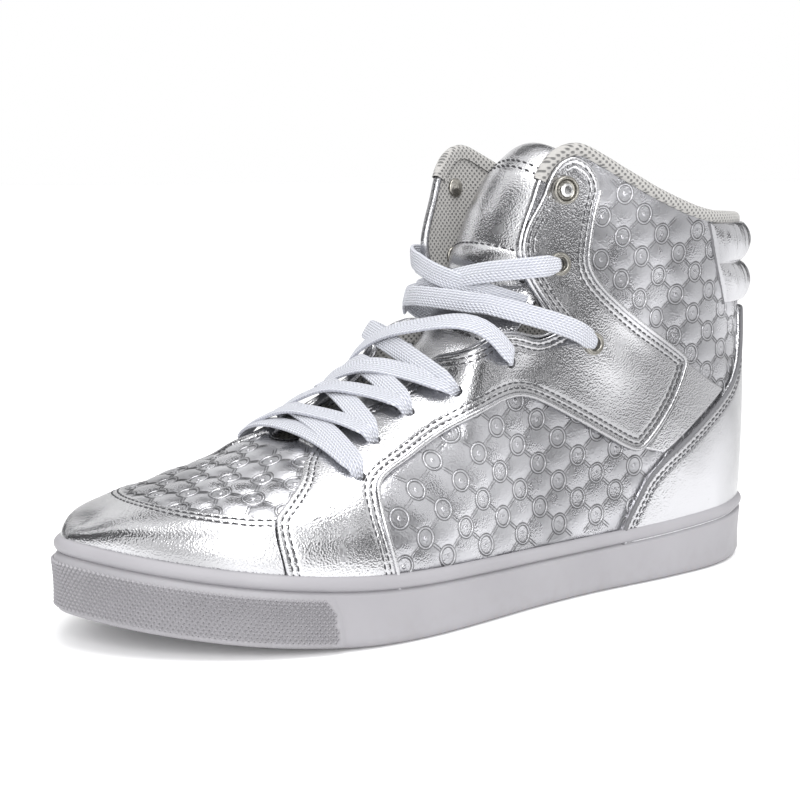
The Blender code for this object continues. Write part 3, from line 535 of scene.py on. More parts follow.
def chains(pairs):
    """Order loose edges into runs of points."""
    near = {}
    for a, b in pairs.tolist():
        near.setdefault(a, []).append(b)
        near.setdefault(b, []).append(a)
    ends = [p for p, others in near.items() if len(others) == 1]
    seen = set()
    runs = []
    for start in ends + list(near):
        if start in seen:
            continue
        run = [start]
        seen.add(start)
        while True:
            onward = [p for p in near[run[-1]] if p not in seen]
            if not onward:
                break
            run.append(onward[0])
            seen.add(onward[0])
        if len(run) > 2 and run[0] in near[run[-1]] and start not in ends:
            run.append(run[0])
        if len(run) > 1:
            runs.append(run)
    return runs


print("the level cut's edges join up in", len(chains(level_pairs)), "line")

# %% [markdown]
# Panels are drawn as on the pattern cutter's card: outlines seen from the side, and
# the throat seen from above. A field gives each point's distance to such an outline,
# below zero inside it.

# %% Outlines of the panels
COLLAR_LINE = [
    # x, z, sharp: shares of SOLE_LENGTH and SHOE_HEIGHT, and 1 at a sharp corner
    (-0.050, 0.806, 0), (0.010, 0.806, 0), (0.060, 0.806, 0), (0.110, 0.808, 0), (0.170, 0.822, 0),
    (0.240, 0.860, 0), (0.300, 0.905, 0), (0.340, 0.938, 0), (0.374, 0.960, 0), (0.402, 0.945, 0),
    (0.420, 0.905, 0), (0.432, 0.850, 0), (0.444, 0.800, 0), (0.451, 0.750, 0), (0.441, 0.690, 0),
    (0.418, 0.630, 0), (0.394, 0.585, 1), (0.430, 0.566, 0), (0.470, 0.580, 0), (0.500, 0.574, 0),
    (0.535, 0.545, 0), (0.575, 0.508, 0), (0.620, 0.476, 0), (0.680, 0.450, 1),
]
THROAT_LINE = [
    # x, mid_y, half_y
    (0.726, -0.045, 0.000), (0.722, -0.045, 0.060), (0.708, -0.042, 0.108), (0.680, -0.035, 0.140),
    (0.630, -0.026, 0.162), (0.580, -0.018, 0.180), (0.530, -0.010, 0.200), (0.480, -0.010, 0.225),
    (0.440, -0.010, 0.240),
]
EYESTAY_FRONT = [
    (0.716, 0.362, 1), (0.740, 0.338, 0), (0.762, 0.310, 0), (0.790, 0.280, 0), (0.810, 0.256, 0),
    (0.816, 0.226, 0), (0.814, 0.180, 0), (0.806, 0.100, 1),
]
EYESTAY_REAR = [
    (0.678, 0.100, 1), (0.690, 0.200, 0), (0.692, 0.262, 0), (0.680, 0.310, 0), (0.630, 0.350, 0),
    (0.580, 0.388, 0), (0.530, 0.426, 0), (0.490, 0.448, 0), (0.460, 0.450, 0), (0.425, 0.428, 0),
    (0.380, 0.390, 0), (0.335, 0.350, 0), (0.285, 0.308, 0), (0.266, 0.306, 1), (0.240, 0.345, 0),
    (0.214, 0.398, 0), (0.196, 0.452, 0), (0.186, 0.496, 1), (0.222, 0.535, 0), (0.272, 0.585, 0),
    (0.320, 0.642, 0), (0.346, 0.682, 0), (0.358, 0.720, 0), (0.356, 0.770, 0), (0.348, 0.840, 0),
    (0.336, 0.900, 0), (0.322, 0.970, 1),
]
TOE_CAP_SEAM = [
    (0.700, 0.262, 0), (0.812, 0.262, 0), (0.850, 0.266, 0), (0.900, 0.272, 0), (0.960, 0.276, 0),
    (1.020, 0.276, 0), (1.100, 0.276, 1),
]
COUNTER_EDGE = [
    (0.306, 0.100, 1), (0.296, 0.140, 0), (0.276, 0.190, 0), (0.256, 0.236, 0), (0.228, 0.274, 0),
    (0.192, 0.310, 0), (0.150, 0.356, 0), (0.115, 0.395, 0), (0.085, 0.432, 0), (0.060, 0.480, 0),
    (0.046, 0.540, 0), (0.042, 0.596, 1),
]
HEEL_BAND = [
    (0.226, 0.287, 0), (0.190, 0.322, 0), (0.150, 0.367, 0), (0.104, 0.418, 1), (0.135, 0.440, 0),
    (0.184, 0.488, 1), (0.193, 0.450, 0), (0.211, 0.396, 0), (0.237, 0.342, 0), (0.260, 0.302, 1),
]


print("points of an eyestay's edges:", len(EYESTAY_FRONT) + len(EYESTAY_REAR))

# %% Fields of the outlines
def drawn(rows, steps=8):
    """An outline in metres, smooth between its sharp corners."""
    runs = [[]]
    for x, z, sharp in rows:
        place = (x * SOLE_LENGTH - HEEL_REST, z * SHOE_HEIGHT)
        runs[-1].append(place)
        if sharp:
            runs.append([place])
    parts = [smooth_path(run, steps) for run in runs if len(run) > 1]
    return np.vstack(parts)


def spot(x, z):
    return np.array([(x * SOLE_LENGTH - HEEL_REST, z * SHOE_HEIGHT)])


def outline_field(flat, ring):
    """Signed distance of 2-D points to a closed outline, below zero inside."""
    a = ring
    b = np.roll(ring, -1, axis=0)
    nearest = np.full(len(flat), 1e9)
    inside = np.zeros(len(flat), bool)
    for p, q in zip(a, b):
        run = q - p
        size = float(run @ run)
        if size < 1e-16:
            continue
        t = np.clip(((flat - p) @ run) / size, 0.0, 1.0)
        nearest = np.minimum(nearest, np.linalg.norm(flat - p - t[:, None] * run, axis=1))
        straddles = (p[1] > flat[:, 1]) != (q[1] > flat[:, 1])
        if p[1] != q[1]:
            crossing = (q[0] - p[0]) * (flat[:, 1] - p[1]) / (q[1] - p[1]) + p[0]
            inside ^= straddles & (flat[:, 0] < crossing)
    return np.where(inside, -nearest, nearest)


def from_side(ring):
    return lambda points: outline_field(points[:, [0, 2]], ring)


def from_above(ring):
    return lambda points: outline_field(points[:, [0, 1]], ring)


def outside_of(field):
    return lambda points: -field(points)


in_band = outline_field(spot(0.2, 0.4), drawn(HEEL_BAND))[0]
print("the middle of the heel band:", round(float(in_band) / MM, 1), "mm")

# %% The collar and the throat
collar_line = drawn(COLLAR_LINE)
over_collar = [spot(0.680, 1.5), spot(-0.20, 1.5), spot(-0.20, 0.806)]
above_collar = from_side(np.vstack([collar_line, *over_collar]))
throat_rows = smooth_path(np.array(THROAT_LINE), 8)
throat_x = throat_rows[:, 0] * SOLE_LENGTH - HEEL_REST
throat_outer = (throat_rows[:, 1] + throat_rows[:, 2]) * BALL_WIDTH
throat_inner = (throat_rows[:, 1] - throat_rows[:, 2]) * BALL_WIDTH
throat_ring = np.vstack([
    np.stack([throat_x, throat_outer], 1),
    np.stack([throat_x, throat_inner], 1)[:0:-1],
])
in_throat_above = from_above(throat_ring)
THROAT_LOW = 0.25 * SHOE_HEIGHT


def in_throat(points):
    """Distance to the throat's opening, below zero in it. The sole's side is never in it."""
    away = in_throat_above(points)
    return np.where(points[:, 2] < THROAT_LOW, np.abs(away), away)


print("throat:", np.round(np.ptp(throat_ring, axis=0) / MM, 1), "mm long and wide")


# %% [markdown]
# Every leather panel goes the same way: cut it out of the last, find how far each
# point is from the panel's free edges, add rows of points near those edges, then
# lift the panel by its thickness and let it roll down to nothing at the edge.

# %% Distance to edges, and how a panel is lifted
def samples_of(patch, pairs, pitch=0.0002):
    """Closely spaced places along some edges of a patch."""
    out = []
    for a, b in pairs:
        p, q = patch.points[a], patch.points[b]
        steps = max(1, int(np.linalg.norm(q - p) / pitch))
        for s in range(steps):
            out.append(p + (q - p) * s / steps)
    return out


def distance_from(points, samples):
    if not samples:
        return np.full(len(points), 1.0)
    tree = KDTree(len(samples))
    for i, p in enumerate(samples):
        tree.insert(p, i)
    tree.balance()
    return np.array([tree.find(p)[2] for p in points])


def cut_out(patch, outlines):
    """Cut a patch by named outline fields. Returns it with each edge's samples by name."""
    for field in outlines.values():
        patch, _ = split_patch(patch, field(patch.points), "inside")
    patch = tidy_patch(patch)
    pairs = edge_pairs(patch.faces)
    centres = (patch.points[pairs[:, 0]] + patch.points[pairs[:, 1]]) / 2
    names = list(outlines)
    distances = np.array([np.abs(outlines[name](centres)) for name in names])
    best = distances.argmin(axis=0)
    close = distances.min(axis=0) < 0.0006
    edges = {name: pairs[(best == k) & close] for k, name in enumerate(names)}
    return patch, {name: samples_of(patch, edges[name]) for name in names}


ROLL_LEVELS = (0.10, 0.35, 0.70, 1.0, 1.6)


def add_edge_rows(patch, samples, roll):
    """Store the distance to the free edges and split the patch into rows beside them."""
    patch.fields["edge"] = distance_from(patch.points, samples)
    for level in ROLL_LEVELS:
        patch, _ = split_patch(patch, patch.fields["edge"] - level * roll)
    return patch


def rolled(distance, roll):
    """0 at an edge and 1 a roll's width from it, as a quarter circle."""
    t = np.clip(distance / roll, 0.0, 1.0)
    return np.sqrt(np.maximum(1.0 - (1.0 - t) ** 2, 0.0))


print("a rolled edge rises:", np.round(rolled(np.array(ROLL_LEVELS), 1.0), 2))


# %% [markdown]
# Walking leaves soft creases: broad shallow troughs across the instep and behind the
# ball of the foot, each with a slight ridge beside it. They are given as centre,
# direction, length, width and depth. The skin and every panel follow them.

# %% Creases placed one by one
CREASES = [
    # x, y, z, direction (x, y, z), length, width, depth: all in millimetres
    (138, 44, 50, (0.55, 0.1, 1.0), 26, 5.0, 0.7),
    (146, 42, 47, (0.35, 0.1, 1.0), 22, 4.0, 0.5),
    (88, 36, 83, (1.0, 0.0, -0.55), 30, 5.0, 0.8),
    (80, 36, 100, (0.6, 0.0, 1.0), 22, 5.0, 0.6),
    (66, 36, 112, (0.25, 0.0, 1.0), 26, 6.0, 0.7),
    (185, 10, 54, (0.2, 1.0, 0.0), 36, 5.0, 0.5),
    (176, -30, 52, (0.3, 1.0, -0.3), 30, 5.0, 0.6),
    (20, 34, 104, (0.3, 0.0, 1.0), 34, 7.0, 0.8),
    (40, 36, 92, (1.0, 0.0, 0.7), 30, 6.0, 0.6),
    (138, -44, 50, (0.55, 0.1, 1.0), 26, 5.0, 0.7),
    (88, -36, 83, (1.0, 0.0, -0.55), 30, 5.0, 0.7),
    (30, -36, 100, (0.3, 0.0, 1.0), 34, 7.0, 0.8),
]


def crease_depth(points):
    """How far the leather lies in or out at each point."""
    total = np.zeros(len(points))
    for x, y, z, run, length, width, depth in CREASES:
        centre = np.array((x, y, z)) * MM
        run = np.array(run) / np.linalg.norm(run)
        away = points - centre
        along = away @ run / (length * MM / 2)
        across = np.linalg.norm(away - np.outer(away @ run, run), axis=1) / (width * MM)
        trough = np.exp(-across ** 2) - 0.45 * np.exp(-((across - 1.9) / 0.9) ** 2)
        total -= depth * MM * trough * np.exp(-along ** 2 * 1.6)
    return total


print("creases:", len(CREASES))

# %% [markdown]
# The finishes. Foil-coated leather is nearly a metal: its colour comes from what it
# mirrors, and its fine pebble grain and tiny folds break the mirror up. So the grain is
# bump at two sizes, and the gloss changes a little from place to place. Broad dark
# blotches in its colour are painted reflections. All but the lace read the object's
# own coordinates, so that they stay put as the shoe is turned.

# %% Nodes by name
def new_material(name):
    made = bpy.data.materials.new(name)
    made.use_nodes = True
    tree = made.node_tree
    return made, tree, tree.nodes["Principled BSDF"]


def set_inputs(tree, node, **inputs):
    """Link or set a node's inputs, each by its name, or as i0, i1 by its number."""
    for key, value in inputs.items():
        numbered = key[0] == "i" and key[1:].isdigit()
        slot = node.inputs[int(key[1:]) if numbered else key.replace("_", " ")]
        if isinstance(value, bpy.types.NodeSocket):
            tree.links.new(value, slot)
        else:
            slot.default_value = value


def add_node(tree, kind, settings=None, **inputs):
    """Add a node, set its options and link or set its inputs."""
    node = tree.nodes.new(kind)
    for key, value in (settings or {}).items():
        setattr(node, key, value)
    set_inputs(tree, node, **inputs)
    return node


print("ready: new_material, set_inputs, add_node")

# %% Patterns and sums of nodes
def object_coordinates(tree):
    return add_node(tree, "ShaderNodeTexCoord").outputs["Object"]


def noise(tree, where, scale, detail=3.0, roughness=0.5):
    sizes = {"Scale": scale, "Detail": detail, "Roughness": roughness}
    return add_node(tree, "ShaderNodeTexNoise", Vector=where, **sizes).outputs["Fac"]


def cells(tree, where, scale, feature="SMOOTH_F1"):
    node = add_node(tree, "ShaderNodeTexVoronoi", {"feature": feature}, Vector=where, Scale=scale)
    return node.outputs["Distance"]


def remap(tree, value, low, high, to_low=0.0, to_high=1.0):
    """Carry a value from one range over to another, and stop at its ends."""
    node = add_node(
        tree, "ShaderNodeMapRange", {"clamp": True},
        Value=value, From_Min=low, From_Max=high, To_Min=to_low, To_Max=to_high,
    )
    return node.outputs["Result"]


def math_node(tree, operation, a, b=0.0):
    return add_node(tree, "ShaderNodeMath", {"operation": operation}, i0=a, i1=b).outputs[0]


def times(tree, a, b):
    return math_node(tree, "MULTIPLY", a, b)


def plus(tree, a, b):
    return math_node(tree, "ADD", a, b)


def blend_colours(tree, factor, first, second):
    pair = [c if isinstance(c, bpy.types.NodeSocket) else (*c, 1.0) for c in (first, second)]
    mix = add_node(tree, "ShaderNodeMix", {"data_type": "RGBA"}, i0=factor, i6=pair[0], i7=pair[1])
    return mix.outputs[2]


def darker(colour, share):
    return tuple(share * v for v in colour)


def bump(tree, height, distance, strength=1.0, under=None):
    """A bumped normal. under is a coarser bump that this one rides on."""
    node = add_node(tree, "ShaderNodeBump", Height=height, Distance=distance, Strength=strength)
    if under is not None:
        tree.links.new(under, node.inputs["Normal"])
    return node.outputs["Normal"]


print("ready: noise, cells, remap, times, plus, blend_colours, darker, bump")

# %% Silver leather
def silver_leather(name, grain=0.00012, gloss=(0.19, 0.28), tone=(0.76, 0.76, 0.78), sway=0.0030):
    """Foil-coated leather: metal with pebble grain, fine folds, a slow sway of its surface and painted dark
    reflections in its colour.
    """
    made, tree, shader = new_material(name)
    where = object_coordinates(tree)
    # cloud mixes broad dark blotches into the base colour: painted dark reflections.
    cloud = remap(tree, noise(tree, where, 19.0, 1.0, 0.4), 0.40, 0.60)
    smudge = noise(tree, where, 95.0, 4.0, 0.5)
    slow = bump(tree, noise(tree, where, 17.0, 0.0, 0.4), sway)
    folds = bump(tree, noise(tree, where, 140.0, 2.0, 0.5), 0.00022, 0.5, slow)
    set_inputs(
        tree,
        shader,
        Base_Color=blend_colours(tree, cloud, darker(tone, 0.58), tone),
        Metallic=0.97,
        Roughness=remap(tree, smudge, 0.3, 0.7, *gloss),
        Normal=bump(tree, cells(tree, where, 1700.0), grain, 0.9, folds),
        Coat_Weight=0.10,
        Coat_Roughness=0.25,
    )
    return made


smooth_silver = silver_leather("smooth_silver_leather", tone=(0.71, 0.71, 0.73))
heel_silver = silver_leather("heel_silver_leather", tone=(0.60, 0.60, 0.62))
# Dark silver for the thin lines beside the rings and for the bars: painted shade of the pressed grooves.
pressed_line = silver_leather("pressed_line", 0.00004, (0.34, 0.42), (0.30, 0.30, 0.31), 0.0)
padded_silver = silver_leather("padded_silver_leather", 0.00012, (0.22, 0.34), (0.68, 0.68, 0.71), 0.0012)
print("leathers:", [made.name for made in bpy.data.materials if "leather" in made.name])

# %% Rubber
PALE_RUBBER = (0.325, 0.318, 0.336)
GREY_RUBBER = (0.290, 0.283, 0.300)
DARK_SPECKS = (0.26, 0.25, 0.25)


def sole_rubber():
    """Matt moulded rubber, with faint darker specks towards the floor."""
    made, tree, shader = new_material("sole_rubber_white")
    where = object_coordinates(tree)
    cloud = remap(tree, noise(tree, where, 26.0, 5.0), 0.3, 0.7)
    clean = blend_colours(tree, cloud, GREY_RUBBER, PALE_RUBBER)
    height = add_node(tree, "ShaderNodeSeparateXYZ", Vector=where).outputs["Z"]
    # Darker specks, fading out from the floor up to 14 mm.
    low = remap(tree, height, 0.001, 0.014, 0.30, 0.0)
    speck = remap(tree, noise(tree, where, 240.0, 3.0), 0.45, 0.7)
    set_inputs(
        tree,
        shader,
        Base_Color=blend_colours(tree, times(tree, low, speck), clean, DARK_SPECKS),
        Roughness=remap(tree, noise(tree, where, 60.0), 0.3, 0.7, 0.46, 0.58),
        Normal=bump(tree, noise(tree, where, 1500.0, 2.0), 0.00005, 0.4),
    )
    return made


rubber = sole_rubber()
print("made:", rubber.name)

# %% Cloth
def woven(name, pale, dark, pitch, depth, roughness=0.9):
    """Knitted mesh: rows of small open cells with a soft thread between them."""
    made, tree, shader = new_material(name)
    where = object_coordinates(tree)
    parts = add_node(tree, "ShaderNodeSeparateXYZ", Vector=where)
    level = plus(tree, parts.outputs["X"], parts.outputs["Y"])
    waves = [
        math_node(tree, "COSINE", times(tree, value, 2 * math.pi / size))
        for value, size in ((level, pitch), (parts.outputs["Z"], pitch * 0.85))
    ]
    thread = remap(tree, times(tree, *waves), 0.70, 0.05)
    fuzz = noise(tree, where, 2600.0, 2.0)
    mixed = plus(tree, times(tree, thread, 0.8), times(tree, fuzz, 0.2))
    set_inputs(
        tree,
        shader,
        Base_Color=blend_colours(tree, mixed, dark, pale),
        Roughness=roughness,
        Sheen_Weight=0.25,
        Normal=bump(tree, mixed, depth, 0.9),
    )
    return made


def lace_weave():
    """Flat plaited cotton: slanting threads that meet along the middle of the lace."""
    made, tree, shader = new_material("plaited_lace")
    uv = add_node(tree, "ShaderNodeUVMap", {"uv_map": "along"}).outputs["UV"]
    parts = add_node(tree, "ShaderNodeSeparateXYZ", Vector=uv)
    u, v = parts.outputs["X"], parts.outputs["Y"]
    slope = math_node(tree, "ABSOLUTE", math_node(tree, "SUBTRACT", v, 0.5))
    phase = plus(tree, times(tree, u, 620.0 * 2 * math.pi), times(tree, slope, 26.0))
    ribs = plus(tree, times(tree, math_node(tree, "SINE", phase), 0.5), 0.5)
    columns = math_node(tree, "ABSOLUTE", math_node(tree, "SINE", times(tree, v, 8.0 * math.pi)))
    cloth = times(tree, plus(tree, ribs, 0.35), plus(tree, columns, 0.25))
    tone = remap(tree, cloth, 0.05, 1.1)
    set_inputs(
        tree,
        shader,
        Base_Color=blend_colours(tree, tone, (0.34, 0.35, 0.41), (0.74, 0.76, 0.83)),
        Roughness=0.85,
        Sheen_Weight=0.4,
        Normal=bump(tree, cloth, 0.00050),
    )
    return made


lining_mesh = woven("lining_mesh", (0.42, 0.41, 0.395), (0.10, 0.10, 0.10), 0.0026, 0.0006)
sock_cloth = woven("footbed_cloth", (0.46, 0.46, 0.47), (0.24, 0.24, 0.25), 0.0018, 0.0002)
lace_cloth = lace_weave()
print("made:", lining_mesh.name, sock_cloth.name, lace_cloth.name)

# %% Metal and thread
def plain_metal(name, colour, roughness):
    made, tree, shader = new_material(name)
    patina = remap(tree, noise(tree, object_coordinates(tree), 900.0, 4.0), 0.35, 0.65)
    worn = darker(colour, 0.62)
    gloss = remap(tree, patina, 0.0, 1.0, roughness + 0.12, roughness)
    base = blend_colours(tree, patina, worn, colour)
    set_inputs(tree, shader, Base_Color=base, Metallic=1.0, Roughness=gloss)
    return made


def thread_material(name, colour):
    made, tree, shader = new_material(name)
    tone = noise(tree, object_coordinates(tree), 3000.0, 2.0)
    base = blend_colours(tree, tone, darker(colour, 0.6), colour)
    set_inputs(tree, shader, Base_Color=base, Roughness=0.7)
    return made


aged_nickel = plain_metal("aged_nickel", (0.40, 0.385, 0.35), 0.24)
bright_steel = plain_metal("bright_steel", (0.80, 0.80, 0.80), 0.16)
grey_thread = thread_material("grey_thread", (0.060, 0.060, 0.066))
# Dark grey for cut edges and lace hole walls, and also for cords that are painted shadow at the ends of the
# collar rolls.
dark_edge_and_shadow = thread_material("dark_cut_edge", (0.17, 0.17, 0.18))
print("finishes:", len(bpy.data.materials))


# %% [markdown]
# The quarters, the vamp and the collar are hot-pressed with a quilt: a straight
# lattice of lines whose cells puff up, with a ring where the lines cross. The puffing
# is in the mesh. The lattice is laid on the leather as it was cut, so on the quarters
# it is measured round the heel, and on the vamp it is drawn from above.

# %% Places on the skin
LACE_HOLES = [(0.700, 0.318), (0.660, 0.376), (0.605, 0.424), (0.550, 0.466), (0.478, 0.520)]
EYELETS = [(0.352, 0.548), (0.400, 0.720)]
RIVET_PLACE = (0.393, 0.875)
HOLE_RADIUS = 0.0021


def skin_place(x, z, side):
    """The place and outward direction of the last under a point of the side view."""
    place, out, _, _ = LAST_TREE.ray_cast(Vector((x, side * 0.2, z)), Vector((0.0, -side, 0.0)))
    return np.array(place), np.array(out)


def share_place(row, side):
    return skin_place(row[0] * SOLE_LENGTH - HEEL_REST, row[1] * SHOE_HEIGHT, side)


HOLES = {side: [share_place(row, side) for row in LACE_HOLES] for side in (1, -1)}
EYELET_PLACES = {side: [share_place(row, side) for row in EYELETS] for side in (1, -1)}
PUNCHED = [place for side in (1, -1) for place, out in HOLES[side] + EYELET_PLACES[side]]
print("punched:", len(PUNCHED), "holes, the first at", np.round(HOLES[1][0][0] / MM, 1), "mm")

# %% The quilted lattice
PUFF = {"vamp": 0.0010, "quarter": 0.0005}
RING_RADIUS = 0.0034
STEP_SIZE = 0.0122
VAMP_START = 0.156
# A node of each lattice and the steps to its neighbours.
QUARTER = ((0.0425, 0.1301), ((-0.0094, -0.0074), (-0.0097, 0.0081)))
VAMP = ((0.2118, 0.0120), ((-0.0064, 0.0104), (0.0082, 0.0084)))
WRAP_X = np.linspace(-0.0405, 0.0500, 92)
wrap_y = np.array([skin_place(x, 0.10, 1)[0][1] for x in WRAP_X])
WRAP_S = lengths_along(np.stack([WRAP_X, wrap_y], 1))
WRAP_S += WRAP_X[-1] - WRAP_S[-1]
print("round the heel:", round(float(WRAP_X[0] - WRAP_S[0]) / MM, 1), "mm more than the side view shows")


def wrapped(x):
    """How far along the leather a point of the side view is, measured round the heel."""
    return np.where(x < WRAP_X[-1], np.interp(x, WRAP_X, WRAP_S), x)


def on_vamp(points):
    """True in front of the eyestay, where the lattice is pressed from above."""
    return points[:, 0] > VAMP_START


def lattice_of(flat, lattice):
    """How many steps each flat point lies from the lattice's node."""
    node, steps = lattice
    return (flat - np.array(node)) @ np.linalg.inv(np.array(steps))


def quilt_height(points):
    side_view = np.stack([wrapped(points[:, 0]), points[:, 2]], 1)
    top = on_vamp(points)[:, None]
    where = np.where(top, lattice_of(points[:, :2], VAMP), lattice_of(side_view, QUARTER))
    puff = (np.sin(math.pi * where[:, 0]) ** 2 * np.sin(math.pi * where[:, 1]) ** 2) ** 0.40
    from_node = np.linalg.norm(where - np.round(where), axis=1) * STEP_SIZE
    puff *= np.clip((from_node - 0.8 * RING_RADIUS) / (0.6 * RING_RADIUS), 0.0, 1.0)
    return np.where(on_vamp(points), PUFF["vamp"], PUFF["quarter"]) * (puff - 0.35)


# %% The upper's outer skin and its lining
openings = {"collar": outside_of(above_collar), "throat": outside_of(in_throat)}
UPPER, upper_edges = cut_out(LAST, openings)
UPPER.fields["edge"] = distance_from(UPPER.points, upper_edges["collar"] + upper_edges["throat"])


FLAT_MARGIN = 0.003
FADE_WIDTH = 0.004


def punched(patch):
    """The patch without its lace holes."""
    return split_patch(patch, HOLE_RADIUS - distance_from(patch.points, PUNCHED), "inside")[0]


def skin_height(patch):
    fade = np.clip((patch.fields["edge"] - FLAT_MARGIN) / FADE_WIDTH, 0.0, 1.0)
    return quilt_height(patch.points) * fade + crease_depth(patch.points)


open_skin = punched(UPPER)
skin_places = open_skin.points + open_skin.outs * skin_height(open_skin)[:, None]
upper_skin = mesh_object("upper_skin", skin_places, open_skin.faces, padded_silver)
hand_over(upper_skin, "silver_leather", "upper")
lining_places = open_skin.points - open_skin.outs * WALL
lining = mesh_object("upper_lining", lining_places, open_skin.faces[:, ::-1], lining_mesh)
hand_over(lining, "lining")


# %% How a panel is made
PANEL_THICK = 0.0014
PANEL_ROLL = 0.0012
PANEL_GAP = 0.0003
SEAM_SINK = 0.00030


def make_panel(name, outlines, free, thick=PANEL_THICK, roll=PANEL_ROLL, rows=(), finish=None):
    """A leather panel laid on the upper. free names the edges that roll over."""
    patch, edges = cut_out(LAST, outlines)
    samples = [p for key in free for p in edges[key]]
    patch = add_edge_rows(patch, samples, roll)
    for row in rows:
        for beside in (-0.0006, 0.0, 0.0006):
            patch, _ = split_patch(patch, patch.fields["edge"] - row - beside)
    patch = punched(tidy_patch(patch, 0.00008))
    height = rolled(patch.fields["edge"], roll) * (thick + PANEL_GAP) - PANEL_GAP
    height += crease_depth(patch.points)
    for row in rows:
        height -= SEAM_SINK * np.exp(-((patch.fields["edge"] - row) / 0.0005) ** 2)
    patch.fields["height"] = height
    places = patch.points + patch.outs * height[:, None]
    return mesh_object(name, places, patch.faces, finish or smooth_silver), patch, edges


print("panels:", round(PANEL_THICK / MM, 2), "mm thick, rolled over", round(PANEL_ROLL / MM, 2), "mm")

# %% Eyestay panels
behind_shoe = [spot(-1.0, -1.0), spot(-1.0, 2.0)]
front_ring = np.vstack([drawn(EYESTAY_FRONT), spot(0.806, -1.0), *behind_shoe, spot(0.716, 2.0)])
behind_front = from_side(front_ring)
rear_ring = np.vstack([drawn(EYESTAY_REAR), spot(0.322, 2.0), *behind_shoe[::-1], spot(0.678, -1.0)])
behind_rear = from_side(rear_ring)
THROAT_MIDDLE = THROAT_LINE[0][1] * BALL_WIDTH
FLAP_MARGIN = 0.0022


def one_side(side):
    """Below zero on one side of the shoe's middle."""
    return lambda points: -side * (points[:, 1] - THROAT_MIDDLE)


def below_collar(points):
    """Below the collar, and at the top of the ankle flap a few millimetres below it."""
    margin = FLAP_MARGIN * np.clip((points[:, 2] - 0.134) / 0.012, 0.0, 1.0)
    return margin - above_collar(points)


CROWN_X, CROWN_Z = 0.0668, 0.1462
CROWN_RADIUS = 0.0130


def flap_crown(points):
    """Below zero under the rounded top of the ankle flap's panel."""
    rise = points[:, 2] - CROWN_Z
    reach = CROWN_RADIUS + 1.6 * np.maximum(-rise, 0.0)
    return np.hypot(points[:, 0] - CROWN_X, np.maximum(rise, 0.0)) - reach


EYESTAY_ROWS = (0.0024, 0.0043)
panels = {}
for side, label in SIDES:
    panels[label] = make_panel(
        "eyestay_panel_" + label,
        {
            "side": one_side(side),
            "front": behind_front,
            "rear": outside_of(behind_rear),
            "collar": below_collar,
            "throat": outside_of(in_throat),
            "crown": flap_crown,
        },
        ("front", "rear", "collar", "throat", "crown"),
        rows=EYESTAY_ROWS,
    )
    hand_over(panels[label][0], "silver_leather", "eyestay_" + label)

# %% Panels of the toe and the heel
CAP_ROWS = (0.0018, 0.0038)
seam_ring = np.vstack([drawn(TOE_CAP_SEAM), spot(1.1, -1.0), spot(0.7, -1.0)])
cap_line = drawn(EYESTAY_FRONT[4:]) + (0.0004, 0.0)
cap_ring = np.vstack([cap_line, spot(0.806, -1.0), spot(-1.0, -1.0), spot(-1.0, 0.256)])
cap_edges = {"seam": from_side(seam_ring), "front": outside_of(from_side(cap_ring))}
toe_cap, cap_patch, _ = make_panel("toe_cap_panel", cap_edges, ("seam",), 0.0010, rows=CAP_ROWS)
hand_over(toe_cap, "silver_leather", "toe_cap")

COUNTER_ROWS = (0.0030, 0.0044)
counter_ring = np.vstack([drawn(COUNTER_EDGE), spot(-0.2, 0.596), spot(-0.2, -1.0), spot(0.306, -1.0)])
counter, counter_patch, _ = make_panel(
    "heel_counter_panel", {"edge": from_side(counter_ring)}, ("edge",),
    0.0018, 0.0014, COUNTER_ROWS, heel_silver,
)
hand_over(counter, "silver_leather", "heel_counter")
band_ring = drawn(HEEL_BAND)
for side, label in SIDES:
    outlines = {"side": one_side(side), "edge": from_side(band_ring)}
    band = make_panel("heel_band_panel_" + label, outlines, ("edge",), 0.0009, 0.0009)[0]
    hand_over(band, "silver_leather", "heel_band_" + label)

# %% [markdown]
# Stitches, rings, bars and the grip of the toe are all one small shape set again and
# again on a surface. One node tree does it: it stands the shape on each point, turned
# by the point's outward direction and by the way the row runs. For the rings it also
# drapes the shape over the leather, by a ray from each of its points. The result is
# made a plain mesh, since instances don't survive an export.


# %% Node trees with named sizes
def geometry_tree(name, numbers):
    """An empty tree with one named number input for each size."""
    tree = bpy.data.node_groups.new(name, "GeometryNodeTree")
    tree.interface.new_socket("Geometry", in_out="INPUT", socket_type="NodeSocketGeometry")
    for label, value in numbers.items():
        number = tree.interface.new_socket(label, in_out="INPUT", socket_type="NodeSocketFloat")
        number.default_value = value
    tree.interface.new_socket("Geometry", in_out="OUTPUT", socket_type="NodeSocketGeometry")
    return tree, tree.nodes.new("NodeGroupInput").outputs, tree.nodes.new("NodeGroupOutput").inputs


def stored(tree, name):
    node = add_node(tree, "GeometryNodeInputNamedAttribute", {"data_type": "FLOAT_VECTOR"}, Name=name)
    return node.outputs["Attribute"]


def vector_math(tree, operation, a, **more):
    node = add_node(tree, "ShaderNodeVectorMath", {"operation": operation}, i0=a, **more)
    return node.outputs["Value" if operation == "DOT_PRODUCT" else "Vector"]


def geometry(tree, kind, settings=None, **inputs):
    """Add a geometry node and give its first output."""
    return add_node(tree, "GeometryNode" + kind, settings, **inputs).outputs[0]


def shaded(tree, mesh, smooth=True):
    return geometry(tree, "SetShadeSmooth", Geometry=mesh, Shade_Smooth=smooth)


def together(tree, parts):
    both = add_node(tree, "GeometryNodeJoinGeometry")
    for part in parts:
        tree.links.new(part, both.inputs[0])
    return both.outputs[0]


def sized(tree, size):
    """The tree's three sizes as one vector."""
    parts = {"X": size["Length"], "Y": size["Width"], "Z": size["Height"]}
    return add_node(tree, "ShaderNodeCombineXYZ", **parts).outputs[0]


print("ready: geometry_tree, geometry, shaded, together, sized")

